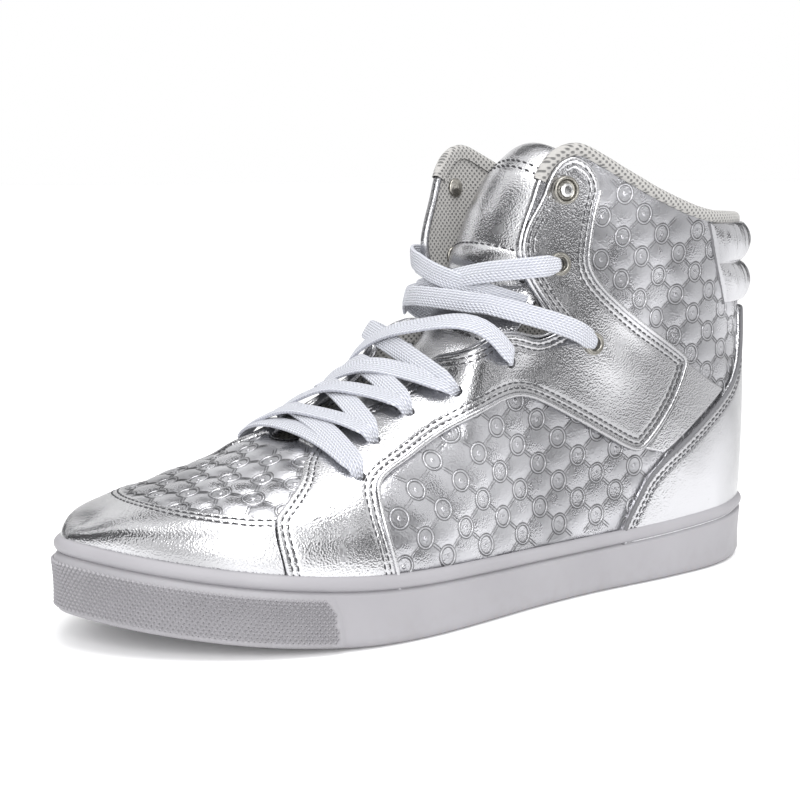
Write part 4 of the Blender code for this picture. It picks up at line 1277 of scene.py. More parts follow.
# %% Small shapes
def grain_shape(tree, size, shift=(0.0, 0.0, 0.0)):
    """A small rounded grain: a sphere scaled by the tree's sizes."""
    ball = geometry(tree, "MeshUVSphere", Segments=8, Rings=5, Radius=0.5)
    grain = geometry(tree, "Transform", Geometry=ball, Scale=sized(tree, size), Translation=shift)
    return shaded(tree, grain)


def twin_grains(tree, size):
    """Two grains side by side, as the pair of ridges between two rings."""
    return together(tree, [grain_shape(tree, size, (0.0, 0.0005 * way, 0.0)) for way in (1, -1)])


def round_cord(tree, line, radius, sides, caps=False):
    """A round cord along a curve."""
    bead = geometry(tree, "CurvePrimitiveCircle", Resolution=sides, Radius=radius)
    cord = geometry(tree, "CurveToMesh", Curve=line, Profile_Curve=bead, Fill_Caps=caps)
    return shaded(tree, cord)


def ring_line(tree, size, sides=5):
    """A thin round cord in a circle: the band of a ring, and also the dark painted groove shade beside it.
    """
    line = geometry(tree, "CurvePrimitiveCircle", Resolution=28, Radius=size["Length"])
    return round_cord(tree, line, size["Width"], sides)


def ring_shape(tree, size):
    """A pressed ring with a dot in it."""
    ball = geometry(tree, "MeshUVSphere", Segments=12, Rings=6, Radius=size["Height"])
    dot = geometry(tree, "Transform", Geometry=ball, Scale=(1.0, 1.0, 0.35))
    return shaded(tree, together(tree, [ring_line(tree, size, 6), dot]))


def pyramid_shape(tree, size):
    """A four-sided pyramid with an open base."""
    radii = {"Radius_Top": size["Width"], "Radius_Bottom": size["Length"]}
    cone = geometry(tree, "MeshCone", {"fill_type": "NONE"}, Vertices=4, Depth=size["Height"], **radii)
    return shaded(tree, cone, False)


print("ready: grain, twin grains, cord, ring and pyramid")

# %% Setting and draping the shapes
def draped(tree, body, over):
    """Let each point fall onto an object along its shape's outward direction."""
    place = geometry(tree, "InputPosition")
    out = stored(tree, "out")
    from_seat = vector_math(tree, "SUBTRACT", place, i1=stored(tree, "seat"))
    rise = vector_math(tree, "SCALE", out, Scale=vector_math(tree, "DOT_PRODUCT", from_seat, i1=out))
    foot = vector_math(tree, "SUBTRACT", place, i1=rise)
    start = vector_math(tree, "ADD", foot, i1=vector_math(tree, "SCALE", out, Scale=0.003))
    down = vector_math(tree, "SCALE", out, Scale=-1.0)
    skin = add_node(tree, "GeometryNodeObjectInfo", Object=over).outputs["Geometry"]
    ray = add_node(
        tree, "GeometryNodeRaycast",
        Target_Geometry=skin, Source_Position=start, Ray_Direction=down, Ray_Length=0.008,
    ).outputs
    landed = vector_math(tree, "ADD", ray["Hit Position"], i1=rise)
    fall = {"Geometry": body, "Selection": ray["Is Hit"], "Position": landed}
    return geometry(tree, "SetPosition", **fall)


def setting_tree(name, shape, numbers, finish, over=None):
    """A tree that sets a shape on every point, draped over an object if one is given."""
    tree, size, end = geometry_tree(name, numbers)
    turn = add_node(
        tree, "FunctionNodeAxesToRotation", {"primary_axis": "Z", "secondary_axis": "X"},
        i0=stored(tree, "out"), i1=stored(tree, "run"),
    )
    spots = geometry(
        tree, "InstanceOnPoints",
        Points=size["Geometry"], Instance=shape(tree, size), Rotation=turn.outputs["Rotation"],
    )
    body = geometry(tree, "RealizeInstances", Geometry=spots)
    if over:
        body = draped(tree, body, over)
    tree.links.new(geometry(tree, "SetMaterial", Geometry=body, Material=finish), end["Geometry"])
    return tree


STITCH = {"Length": 0.0021, "Width": 0.0007, "Height": 0.0006}
stitch_tree = setting_tree("stitch", grain_shape, STITCH, grey_thread)
print("nodes that make a stitch:", len(stitch_tree.nodes))

# %% Keep the result as a plain mesh
def bake(piece, tree, values):
    """Run a tree on a piece, with inputs set by identifier, and keep a plain mesh."""
    modifier = piece.modifiers.new("made", "NODES")
    modifier.node_group = tree
    for item in tree.interface.items_tree:
        if item.in_out == "INPUT" and item.name in values:
            modifier[item.identifier] = values[item.name]
    graph = bpy.context.evaluated_depsgraph_get()
    mesh = bpy.data.meshes.new_from_object(piece.evaluated_get(graph))
    piece.modifiers.clear()
    piece.data = mesh
    mesh.name = piece.name
    for layer in [a for a in mesh.attributes if a.name in ("out", "run", "seat")]:
        mesh.attributes.remove(layer)
    return piece


def set_shapes(name, places, outs, runs, tree, values, slot):
    """One piece with a tree's shape at each place."""
    piece = mesh_object(name, places, [], smooth=False)
    for label, rows in (("out", outs), ("run", runs), ("seat", places)):
        layer = piece.data.attributes.new(label, "FLOAT_VECTOR", "POINT")
        layer.data.foreach_set("vector", np.asarray(rows, dtype=np.float32).ravel())
    return hand_over(bake(piece, tree, values), slot)


print("ready: bake, set_shapes")

# %% [markdown]
# A double row of stitches runs inside each panel's edge. The rows are lines of equal
# distance from the edge, found by the same splitting as before. A thread grain lies
# every 2.8 mm in a slight trough.


# %% Rows of stitches
STITCH_PITCH = 0.0028


def level_lines(patch, values, shortest=0.008):
    """Where a field passes zero, as runs of points lying on the patch's surface."""
    made, pairs = split_patch(patch, values)
    lines = []
    for run in chains(pairs):
        places = made.points[run] + made.outs[run] * made.fields["height"][run][:, None]
        lengths = lengths_along(places)
        if lengths[-1] > shortest:
            lines.append((places, made.outs[run], lengths))
    return lines


LOOK_AHEAD = 0.0012


def evenly(line, pitch):
    """Places, outward directions and run directions at an even pitch along a line."""
    places, outs, lengths = line
    count = max(2, int(round(lengths[-1] / pitch)))
    at = (np.arange(count) + 0.5) * lengths[-1] / count
    ahead = read_at(np.minimum(at + LOOK_AHEAD, lengths[-1]), lengths, places)
    behind = read_at(np.maximum(at - LOOK_AHEAD, 0.0), lengths, places)
    return read_at(at, lengths, places), read_at(at, lengths, outs), ahead - behind


FLAP_TIP_X, FLAP_TIP_Z = 0.0605, 0.138
SEWN_FROM = 0.018


def stitch_rows(name, patch, rows):
    """Stitches along lines of equal distance from a panel's free edges."""
    lines = [line for row in rows for line in level_lines(patch, patch.fields["edge"] - row)]
    parts = [evenly(line, STITCH_PITCH) for line in lines]
    places, outs, runs = (np.vstack(column) for column in zip(*parts))
    on_flap_tip = (places[:, 2] > FLAP_TIP_Z) & (places[:, 0] > FLAP_TIP_X)
    sewn = ~on_flap_tip & (places[:, 2] > SEWN_FROM)
    places, outs, runs = places[sewn], outs[sewn], runs[sewn]
    return set_shapes(name, places + outs * 0.00005, outs, runs, stitch_tree, {}, "lace_cloth")


for label in ("lateral", "medial"):
    stitch_rows("stitches_eyestay_" + label, panels[label][1], EYESTAY_ROWS)
stitch_rows("stitches_toe_cap", cap_patch, CAP_ROWS)
stitch_rows("stitches_counter", counter_patch, COUNTER_ROWS)

# %% Where the press leaves its marks
RING = {"Length": RING_RADIUS, "Width": 0.00034, "Height": 0.0009}
BAR = {"Length": 0.0052, "Width": 0.00042, "Height": 0.0006}
ring_tree = setting_tree("ring", ring_shape, RING, padded_silver, upper_skin)
bar_tree = setting_tree("bar", twin_grains, BAR, pressed_line, upper_skin)
hidden_fields = [from_side(band_ring), from_side(counter_ring)]
UNDER_PANEL = 0.003


def seen_on_skin(places, margin):
    """Where a pressed mark would show: off the edges and not deep under a panel."""
    shown = np.minimum(above_collar(places), in_throat(places)) > margin
    under_eyestay = np.maximum(behind_front(places), -behind_rear(places))
    under_cap = np.where(places[:, 0] > 0.15, from_side(seam_ring)(places), 1.0)
    for field in [under_eyestay, under_cap] + [field(places) for field in hidden_fields]:
        shown &= field > -UNDER_PANEL
    return shown


def lattice_marks(offset, margin):
    """Places and directions on the skin at the lattice's nodes, shifted by an offset of steps."""
    found = []
    reach = range(-14, 15)
    for lattice, flat_top in ((QUARTER, False), (VAMP, True)):
        node, steps = np.array(lattice[0]), np.array(lattice[1])
        step = steps[0] if offset[0] else steps[1]
        for i, j in ((i, j) for i in reach for j in reach):
            flat = node + (i + offset[0]) * steps[0] + (j + offset[1]) * steps[1]
            for side in ((1,) if flat_top else (1, -1)):
                if flat_top:
                    hit = LAST_TREE.ray_cast(Vector((*flat, 0.2)), Vector((0, 0, -1)))
                    run = np.array((step[0], step[1], 0.0))
                else:
                    x = np.interp(flat[0], WRAP_S, WRAP_X) if flat[0] < WRAP_X[-1] else flat[0]
                    hit = LAST_TREE.ray_cast(Vector((x, side * 0.2, flat[1])), Vector((0, -side, 0)))
                    run = np.array((step[0], 0.0, step[1]))
                if hit[0] is None or flat[0] < WRAP_S[0]:
                    continue
                place, out = np.array(hit[0]), np.array(hit[1])
                above_sole = place[2] > sole_top(place[0] + HEEL_REST) + 0.001
                if above_sole and on_vamp(place[None])[0] == flat_top:
                    found.append((place, out, run - out * (run @ out)))
    marks = [np.array(column) for column in zip(*found)]
    shown = seen_on_skin(marks[0], margin)
    return [column[shown] for column in marks]


ring_places, ring_outs, ring_runs = lattice_marks((0.0, 0.0), RING_RADIUS + 0.0008)
print("rings:", len(ring_places))

# %% Rings and bars of the press plate, with painted groove shade
set_shapes("pressed_rings", ring_places, ring_outs, ring_runs, ring_tree, {}, "silver_leather")
# Thin dark rings just outside and inside each ring: painted shade of its pressed groove.
LINE = {"Length": RING_RADIUS, "Width": 0.00022}
ring_shade_tree = setting_tree("ring_line", ring_line, LINE, pressed_line, upper_skin)
for name, beside in (("ring_outer_lines", 0.00050), ("ring_inner_lines", -0.00050)):
    size = {"Length": RING_RADIUS + beside}
    set_shapes(name, ring_places, ring_outs, ring_runs, ring_shade_tree, size, "silver_leather")
# The bars between the rings are dark: painted shade of the pressed grooves.
one = lattice_marks((0.5, 0.0), 0.004)
two = lattice_marks((0.0, 0.5), 0.004)
bars = [np.vstack(pair) for pair in zip(one, two)]
set_shapes("pressed_bars", *bars, bar_tree, {}, "silver_leather")
print("bars:", len(bars[0]))

# %% [markdown]
# A round cord is sewn under the rear edge of the ankle panel, as piping. It follows
# that edge, so a second tree turns a line of points into a cord of a given radius.


# %% Piping
def cord_tree(name, finish):
    tree, size, end = geometry_tree(name, {"Radius": 0.001})
    line = geometry(tree, "MeshToCurve", Mesh=size["Geometry"])
    cord = round_cord(tree, line, size["Radius"], 10, True)
    tree.links.new(geometry(tree, "SetMaterial", Geometry=cord, Material=finish), end["Geometry"])
    return tree


piping_tree = cord_tree("piping", smooth_silver)
# The dark cord serves the counter's folded edge and the painted shadow at the ends of the collar rolls.
dark_cord_tree = cord_tree("folded_edge", dark_edge_and_shadow)


def cord_along(name, lines, tree, radius, lift, slot, pitch=0.0016):
    """Cords that follow lines on a panel, lifted off its surface."""
    points, pairs = [], []
    for line in lines:
        places, outs, _ = evenly(line, pitch)
        places = relaxed(places)
        pairs += [(len(points) + k, len(points) + k + 1) for k in range(len(places) - 1)]
        points += list(places + outs * lift)
    return hand_over(bake(bare_edges(name, points, pairs), tree, {"Radius": radius}), slot)


for label in ("lateral", "medial"):
    piece, patch, edges = panels[label]
    patch.fields["rear"] = distance_from(patch.points, edges["rear"])
    rear_lines = level_lines(patch, patch.fields["rear"] - 0.0003, 0.02)
    cord_along("piping_" + label, rear_lines, piping_tree, 0.00095, 0.0007, "silver_leather")
counter_lines = level_lines(counter_patch, counter_patch.fields["edge"] - 0.0004, 0.02)
cord_along("counter_folded_edge", counter_lines, dark_cord_tree, 0.0008, 0.0004, "silver_leather")

# %% [markdown]
# The upper's free edge needs a finish, or the shell would show as two thin skins. The
# knitted lining rolls over the collar behind the flap. Round the flap and the throat
# the leather is folded over the edge.


# %% Rolled and folded edges
def free_border(patch):
    """The border round the collar and the throat, with directions beyond the patch."""
    pairs = edge_pairs(patch.faces)
    beyond = np.zeros_like(patch.points)
    run = patch.points[pairs[:, 1]] - patch.points[pairs[:, 0]]
    away = np.cross(run, patch.outs[pairs[:, 0]])
    np.add.at(beyond, pairs[:, 0], away)
    np.add.at(beyond, pairs[:, 1], away)
    loops = [run for run in chains(pairs) if patch.points[run, 2].max() > 0.1]
    loop = max(loops, key=len)
    if loop[0] == loop[-1]:
        loop = loop[:-1]
    places, outs, away = patch.points[loop], patch.outs[loop], beyond[loop]
    lengths = lengths_along(places)
    at = np.arange(0.0, lengths[-1], 0.0011)
    rows = [read_at(at, lengths, v) for v in (places, outs, away)]
    for _ in range(2):
        rows = [(np.roll(v, 1, 0) + 2 * v + np.roll(v, -1, 0)) / 4 for v in rows]
    return [rows[0]] + [unit_rows(v) for v in rows[1:]]


def edge_roll(name, select, profile, finish, slot):
    """A strip over part of the border. profile rows are (beyond, out) offsets."""
    places, outs, away = BORDER
    count = len(places)
    points = [places + away * b + outs * o for b, o in profile]
    keep = select(places)
    faces = []
    for j in range(len(profile) - 1):
        for k in range(count):
            n = (k + 1) % count
            if keep[k] and keep[n]:
                faces.append((j * count + k, j * count + n, (j + 1) * count + n, (j + 1) * count + k))
    made = mesh_object(name, np.vstack(points), faces, finish)
    edit = bmesh.new()
    edit.from_mesh(made.data)
    bmesh.ops.delete(edit, geom=[v for v in edit.verts if not v.link_faces], context="VERTS")
    face = max(edit.faces, key=lambda f: f.calc_center_median().z)
    if face.normal.z < 0:
        bmesh.ops.reverse_faces(edit, faces=edit.faces)
    edit.to_mesh(made.data)
    edit.free()
    return hand_over(made, slot)


def half_round(radius, low, high, reach_out, reach_in, steps=10):
    """A profile that comes from the outside, goes round the edge and ends inside."""
    middle, half = (low + high) / 2, (high - low) / 2
    rows = [(-reach_out, high - 0.0007), (-reach_out + 0.0006, high)] if reach_out else []
    for k in range(steps + 1):
        turn = math.pi * k / steps
        rows.append((radius * math.sin(turn), middle + half * math.cos(turn)))
    return rows + [(-reach_in, low)]


# %% The knitted roll and the folded edge
BORDER = free_border(UPPER)
COLLAR_FRONT = 0.322 * SOLE_LENGTH - HEEL_REST + 0.002


def knitted(places):
    """True where the knitted lining rolls over the edge: behind the flap and on its top."""
    return ((places[:, 0] < COLLAR_FRONT) & (places[:, 2] > 0.125)) | (places[:, 2] > 0.150)


def folded(places):
    """True where leather is folded over the edge: everywhere else, and a little under the knit."""
    return ~knitted(places - (0.0, 0.0, 0.002))


knit_profile = half_round(0.0024, -WALL - 0.0008, 0.0010, 0.0022, 0.003)
edge_roll("collar_lining_roll", knitted, knit_profile, lining_mesh, "lining")
fold_profile = half_round(0.0012, -WALL - 0.0003, 0.0006, 0.0, 0.0008)
edge_roll("folded_leather_edge", folded, fold_profile, smooth_silver, "silver_leather")

# %% [markdown]
# The sole is lofted through many fine rings of its edge: a round foot, a slightly
# hollow side wall, a step, a fat bead and a rim. Where the toe bumper lies, the wall
# stands out a little, up to a rounded rear corner.

# %% The sole's side wall
BEAD_HEIGHT = 0.0052
RECESS_DEPTH = 0.0075
BUMPER_RISE = 0.0008
BUMPER_CORNER = [
    # height over the foot, where the bumper starts
    (0.0, 0.2180), (0.006, 0.2185), (0.012, 0.2195),
    (0.0165, 0.2215), (0.0185, 0.2260), (0.0192, 0.2330),
]
SOLE_COLUMNS = 460
SOLE_KEYS = [(k / SOLE_COLUMNS, 1) for k in range(SOLE_COLUMNS + 1)]
SOLE_KEYS += [(k / SOLE_COLUMNS, -1) for k in range(SOLE_COLUMNS - 1, 0, -1)]


def bumper_share(x, z):
    """1 on the toe bumper, 0 off it, for a point of the side wall (unshifted x)."""
    rise = z - floor_height(x)
    start = np.interp(rise, *zip(*BUMPER_CORNER))
    top = sole_top(x) - BEAD_HEIGHT - 0.0012
    along = min(max((x - start) / 0.0009, 0.0), 1.0)
    return along * min(max((top - z) / 0.0008, 0.0), 1.0)


WALL_STEPS = 16
WALL_LOW = 0.0032


def wall_inset(t):
    """How far the side wall stands in, a share t of the way up: it is slightly hollow."""
    return 0.0008 - 0.0005 * t + 0.0003 * math.sin(math.pi * t)


foot = [
    (0.0110, 0.0020), (0.0106, 0.0002), (0.0100, 0.0), (0.0040, 0.0),
    (0.0026, 0.0003), (0.0016, 0.0011), (0.0010, 0.0022),
]
bead = [(0.0003, -0.0008), (0.0010, -0.0002), (0.0016, 0.0001)]
for t in range(1, 10):
    bead.append((0.0016 - 0.0018 * math.sin(math.pi * t / 10) ** 0.6, 0.0002 + 0.0050 * t / 10))
bead += [(0.0012, 0.0051), (0.0022, 0.0052), (0.0028, 0.0050), (0.0029, 0.0030), (0.0030, -0.0023)]
# Every ring as inset, what its height counts from, and height; the wall's as a share.
SOLE_LEVELS = [(inset, "floor", height) for inset, height in foot]
SOLE_LEVELS += [(wall_inset(k / WALL_STEPS), "wall", k / WALL_STEPS) for k in range(WALL_STEPS + 1)]
SOLE_LEVELS += [(inset, "top", height - BEAD_HEIGHT) for inset, height in bead]
print("sole:", len(SOLE_LEVELS), "rings of", len(SOLE_KEYS), "points")


# %% The cup sole's mesh
def sole_points():
    """The points of the sole's rings, from the foot to inside the rim."""
    points = []
    for inset, base, height in SOLE_LEVELS:
        for share, side in SOLE_KEYS:
            x, _ = outline_point(share, side)
            low, high = floor_height(x), sole_top(x)
            wall_low, wall_high = low + WALL_LOW, high - BEAD_HEIGHT - 0.0010
            z = {
                "floor": low + height,
                "wall": wall_low + (wall_high - wall_low) * height,
                "top": high + height,
            }[base]
            stand = BUMPER_RISE * bumper_share(x, z) if inset < 0.002 else 0.0
            px, py = outline_point(share, side, inset - stand)
            points.append((px - HEEL_REST, py, z))
    return points


def capped(ring, upwards):
    """Quads across a ring of the sole, from one side to the other."""
    faces = []
    count = len(SOLE_KEYS)
    for k in range(SOLE_COLUMNS):
        quad = (ring + k, ring + k + 1, ring + (count - k - 1) % count, ring + (count - k) % count)
        quad = tuple(dict.fromkeys(quad))
        faces.append(quad if not upwards else quad[::-1])
    return faces


sole_faces = ring_faces(len(SOLE_LEVELS), len(SOLE_KEYS))
sole_faces += capped(0, False) + capped((len(SOLE_LEVELS) - 1) * len(SOLE_KEYS), True)
sole = mesh_object("cup_sole", sole_points(), sole_faces, rubber)
face_outwards(sole)
sole.data.set_sharp_from_angle(angle=math.radians(50))
hand_over(sole, "sole_rubber", "outsole")

# %% Grip of the toe bumper
PYRAMID_PITCH = 0.00175
GRIP_ROWS = 13
PYRAMID = {"Length": 0.00084, "Width": 0.00022, "Height": 0.0007}
pyramid_tree = setting_tree("pyramid", pyramid_shape, PYRAMID, rubber)
grips = []
for side in (1, -1):
    total = HALF_LENGTHS[side][-1]
    steps = int(0.45 * total / PYRAMID_PITCH)
    for k in range(steps + 1):
        share_here = 1.0 - k * PYRAMID_PITCH / total
        for row in range(GRIP_ROWS):
            t = row / (GRIP_ROWS - 1)
            share = share_here - (0.5 * PYRAMID_PITCH / total if row % 2 else 0.0)
            x, y = outline_point(share, side)
            low, high = floor_height(x) + 0.0030, sole_top(x) - BEAD_HEIGHT - 0.0026
            z = low + (high - low) * t
            if bumper_share(x - 0.0012, z) < 0.999 or (side < 0 and share >= 1.0):
                continue
            ahead = np.array(outline_point(min(share + 0.004, 1.0), side))
            behind = np.array(outline_point(share - 0.004, side))
            run = np.array((*(ahead - behind), 0.0))
            out = np.array((run[1], -run[0], 0.0)) * -side
            out /= np.linalg.norm(out)
            if share >= 0.9999:
                out, run = np.array((1.0, 0.0, 0.0)), np.array((0.0, 1.0, 0.0))
            inset = wall_inset(t) - BUMPER_RISE
            place = np.array((x - HEEL_REST, y, z)) - out * (inset - 0.0001)
            grips.append((place, out, run))
print("grip pyramids:", len(grips))
grip_columns = [np.array(column) for column in zip(*grips)]
set_shapes("bumper_grip", *grip_columns, pyramid_tree, {}, "sole_rubber")

# %% Tread
def bar_shape(tree, size):
    """One tread bar: a plain block of the tree's three sizes."""
    return geometry(tree, "MeshCube", Size=sized(tree, size))


TREAD_ROWS = np.arange(0.055, 0.955, 0.0235)
ARCH = (0.355, 0.500)
TREAD_MARGIN = 0.012
TREAD_BAR = {"Length": 0.0042, "Width": 0.0075, "Height": 0.0020}
tread_tree = setting_tree("tread", bar_shape, TREAD_BAR, rubber)
tread_places = []
for share_x in TREAD_ROWS:
    x = share_x * SOLE_LENGTH
    if ARCH[0] < share_x < ARCH[1]:
        continue
    edges_y = [np.interp(x, HALVES[side][6:-6, 0], HALVES[side][6:-6, 1]) for side in (1, -1)]
    room = edges_y[0] - edges_y[1] - 2 * TREAD_MARGIN
    count = max(1, int(room / 0.0095))
    for k in range(count):
        y = edges_y[1] + TREAD_MARGIN + room * (k + 0.5) / count
        shift = 0.0030 if k % 2 else 0.0
        tread_places.append((x - HEEL_REST + shift, y, floor_height(x + shift) + 0.0011))
downs = np.tile((0.0, 0.0, -1.0), (len(tread_places), 1))
ways = np.tile((1.0, 0.0, 0.0), (len(tread_places), 1))
set_shapes("tread_blocks", np.array(tread_places), downs, ways, tread_tree, {}, "sole_rubber")

# %% [markdown]
# The footbed lies in the sole's recess: a thin padded sole of knitted cloth, a little
# dished, with its edge turned up against the upper.

# %% Footbed
FOOT_COLUMNS, FOOT_ROWS = 150, 28
foot_inset = RIM_WIDTH + WALL + 0.0011
foot_points = []
for k in range(FOOT_COLUMNS + 1):
    share = 0.004 + 0.992 * k / FOOT_COLUMNS
    (ax, ay), (bx, by) = (outline_point(share, side, foot_inset) for side in (1, -1))
    for j in range(FOOT_ROWS + 1):
        w = 2 * j / FOOT_ROWS - 1
        x, y = ax + (bx - ax) * (w + 1) / 2, ay + (by - ay) * (w + 1) / 2
        base = sole_top(x) - RECESS_DEPTH + 0.0003
        ends = max(abs(2 * k / FOOT_COLUMNS - 1) ** 10, abs(w) ** 6)
        foot_points.append((x - HEEL_REST, y, base + 0.0030 + 0.0010 * ends - 0.0022 * (ends > 0.985)))
footbed = mesh_object("footbed", foot_points, grid_faces(FOOT_COLUMNS, FOOT_ROWS), sock_cloth)
if footbed.data.polygons[500].normal.z < 0:
    footbed.data.flip_normals()
hand_over(footbed, "lining", "insole")

# %% [markdown]
# The tongue is a padded strip. Each of its sections is a closed, flattened oval, and
# the ovals follow the instep and shrink to a rounded end. Sewn channels cross it just
# above the laces, where the padding swells between the seams.

# %% Tongue
TONGUE_LINE = [
    # x, z, half_y, crown: x a share of SOLE_LENGTH, z of SHOE_HEIGHT, the rest of BALL_WIDTH
    (0.752, 0.300, 0.150, 0.030), (0.707, 0.348, 0.190, 0.042), (0.655, 0.400, 0.205, 0.052),
    (0.603, 0.452, 0.215, 0.062), (0.552, 0.505, 0.212, 0.092), (0.508, 0.562, 0.222, 0.100),
    (0.480, 0.628, 0.235, 0.115), (0.463, 0.690, 0.258, 0.130), (0.449, 0.762, 0.262, 0.140),
    (0.428, 0.842, 0.264, 0.150), (0.398, 0.922, 0.262, 0.155), (0.352, 0.985, 0.235, 0.135),
]
TONGUE_THICKNESS = 0.0045
CHANNELS = (0.098, 0.108, 0.118, 0.128)
HEM = 0.1555
SECTION = 56
tongue_sizes = (SOLE_LENGTH, SHOE_HEIGHT, BALL_WIDTH, BALL_WIDTH)
tongue_path = smooth_path(np.array(TONGUE_LINE) * tongue_sizes, 12)


def tongue_swell(x, z, w):
    """How far the padding stands out between the sewn channels and below the hem."""
    if CHANNELS[0] < z < CHANNELS[-1]:
        t = (z - CHANNELS[0]) / (CHANNELS[1] - CHANNELS[0])
        return 0.0016 * (abs(math.sin(math.pi * t)) ** 0.6 - 0.45) * (1 - w ** 4)
    seam = math.exp(-((z - HEM) / 0.0008) ** 2) + math.exp(-((z - HEM - 0.0022) / 0.0008) ** 2)
    edge = min(abs(z - CHANNELS[0]), abs(z - CHANNELS[-1]))
    return (0.0007 * min(edge / 0.012, 1.0) - 0.0007) * (1 - w ** 4) - 0.0005 * seam


tongue_points = []
tongue_axes = []
rows = len(tongue_path)
caps = [math.sin(math.pi / 2 * t / 6) for t in range(1, 6)]
sizes = caps + [1.0] * (rows - 10) + caps[::-1]
for k, (x, z, half, crown) in enumerate(tongue_path):
    back, ahead = tongue_path[max(k - 1, 0)], tongue_path[min(k + 1, rows - 1)]
    run = np.array((ahead[0] - back[0], ahead[1] - back[1]))
    run /= np.linalg.norm(run)
    out = np.array((run[1], -run[0])) if run[1] > run[0] * -1 else np.array((-run[1], run[0]))
    if out[0] + out[1] < 0:
        out = -out
    tongue_axes.append((x, z, half, crown, out))
    for s in range(SECTION):
        turn = 2 * math.pi * s / SECTION
        w = math.copysign(abs(math.cos(turn)) ** 0.85, math.cos(turn)) * (0.86 + 0.14 * sizes[k])
        thick = TONGUE_THICKNESS * (1 - 0.45 * w ** 4) * sizes[k]
        up = math.copysign(abs(math.sin(turn)) ** 0.5, math.sin(turn))
        depth = -TONGUE_THICKNESS / 2 + thick / 2 * up - crown * w * w
        if up > 0:
            depth += tongue_swell(x, z, w) * up * sizes[k]
        tongue_points.append((x - HEEL_REST + out[0] * depth, w * half, z + out[1] * depth))
tongue_faces = ring_faces(rows, SECTION)
tongue_faces.append(tuple(range(SECTION))[::-1])
tongue_faces.append(tuple((rows - 1) * SECTION + s for s in range(SECTION)))
tongue = mesh_object("padded_tongue", tongue_points, tongue_faces, smooth_silver)
face_outwards(tongue)
hand_over(tongue, "silver_leather", "tongue")

# %% Stitches across the tongue
tongue_seams = []
for z in CHANNELS + (HEM, HEM + 0.0022):
    k = int(np.argmin(np.abs(tongue_path[:, 1] - z)))
    x, zz, half, crown, out = tongue_axes[k]
    count = int(2 * 0.86 * half / STITCH_PITCH)
    for c in range(count):
        w = (2 * (c + 0.5) / count - 1) * 0.88
        depth = -crown * w * w + tongue_swell(x, zz, w) + 0.0002 - 0.20 * TONGUE_THICKNESS * w ** 4
        place = (x - HEEL_REST + out[0] * depth, w * half, zz + out[1] * depth)
        tilt = 2 * crown * w / half
        normal = np.array((out[0], tilt, out[1]))
        run = (-out[0] * tilt, 1.0, -out[1] * tilt)
        tongue_seams.append((place, normal / np.linalg.norm(normal), run))
seam_columns = [np.array(column) for column in zip(*tongue_seams)]
set_shapes("stitches_tongue", *seam_columns, stitch_tree, {}, "lace_cloth")

# %% [markdown]
# Two padded rolls lie round the back of the collar, sewn flat between them. Their
# swell is a row of round humps that fade out towards both ends.

# %% Collar pads
PAD_LOW, PAD_HIGH, PAD_ROLLS = 0.612, 0.800, 2
PAD_REACH = (0.150, 0.205)
PAD_SWELL = 0.0042
PAD_ROWS, PAD_COLUMNS = 64, 200
pad_points = []
rises = np.linspace(0.0, 1.0, 240)
for c in range(PAD_COLUMNS + 1):
    w = 2 * c / PAD_COLUMNS - 1
    side = 1 if w >= 0 else -1
    curves = [rib_curve(abs(w) * reach, side, rises) for reach in PAD_REACH]
    for r in range(PAD_ROWS + 1):
        z = (PAD_LOW + (PAD_HIGH - PAD_LOW) * r / PAD_ROWS) * SHOE_HEIGHT
        low, high = (read_at([z], curve[:, 2], curve)[0] for curve in curves)
        here = low + (high - low) * r / PAD_ROWS
        here = np.array(LAST_TREE.find_nearest(Vector(here - np.array((HEEL_REST, 0.0, 0.0))))[0])
        out = np.array(LAST_TREE.find_nearest(Vector(here))[1])
        hump = abs(math.sin(math.pi * PAD_ROLLS * r / PAD_ROWS)) ** 0.65
        roll = math.floor(PAD_ROLLS * r / PAD_ROWS)
        pleat = 1.0 + 0.06 * math.sin(47 * w + 2.1 * roll) + 0.04 * math.sin(90 * w + 11 * r / PAD_ROWS)
        swell = hump * pleat * (1 - w ** 4)
        border = min(r, PAD_ROWS - r, c, PAD_COLUMNS - c)
        base = 0.0011 if border > 1 else (0.0008 if border else -0.0003)
        pad_points.append(here + out * (base + PAD_SWELL * swell * (border > 0)))
pads = mesh_object("collar_rolls", pad_points, grid_faces(PAD_COLUMNS, PAD_ROWS), heel_silver)
middle_face = pads.data.polygons[(PAD_COLUMNS // 2) * PAD_ROWS + PAD_ROWS // 2]
if middle_face.normal.x > 0:
    pads.data.flip_normals()
hand_over(pads, "silver_leather", "collar_pad")

# %% Dark cords at the ends of the rolls: painted shadow of the gap between rolls and quarter
shadow_cord_line, shadow_cord_pairs = [], []
for c in (0, PAD_COLUMNS):
    shadow_cord_pairs += [(len(shadow_cord_line) + r, len(shadow_cord_line) + r + 1) for r in range(PAD_ROWS)]
    shadow_cord_line += pad_points[c * (PAD_ROWS + 1):(c + 1) * (PAD_ROWS + 1)]
pad_seams = bare_edges("pad_seams", shadow_cord_line, shadow_cord_pairs)
hand_over(bake(pad_seams, dark_cord_tree, {"Radius": 0.0008}), "silver_leather")

# %% [markdown]
# Every lace is one flat plaited band, swept along its route with a rounded section.
# Near a hole it narrows and dips inside. Its UV map runs along it in metres, so the
# plait keeps its scale. Where two laces cross, the upper one rises over the lower.

# %% The lace's band
LACE_WIDTH, LACE_THICK = 0.0075, 0.0017
LACE_BASE = 0.0035
DIP_DEPTH, DIP_RUN = 0.0028, 0.0065
CROSSING_RUN = 0.0062
BAND = 20


def band_section(width, thick):
    rows = []
    for s in range(BAND):
        turn = 2 * math.pi * s / BAND
        across = math.copysign(abs(math.cos(turn)) ** 0.75, math.cos(turn)) * width / 2
        up = math.copysign(abs(math.sin(turn)) ** 0.65, math.sin(turn)) * thick / 2
        rows.append((across, up))
    return rows


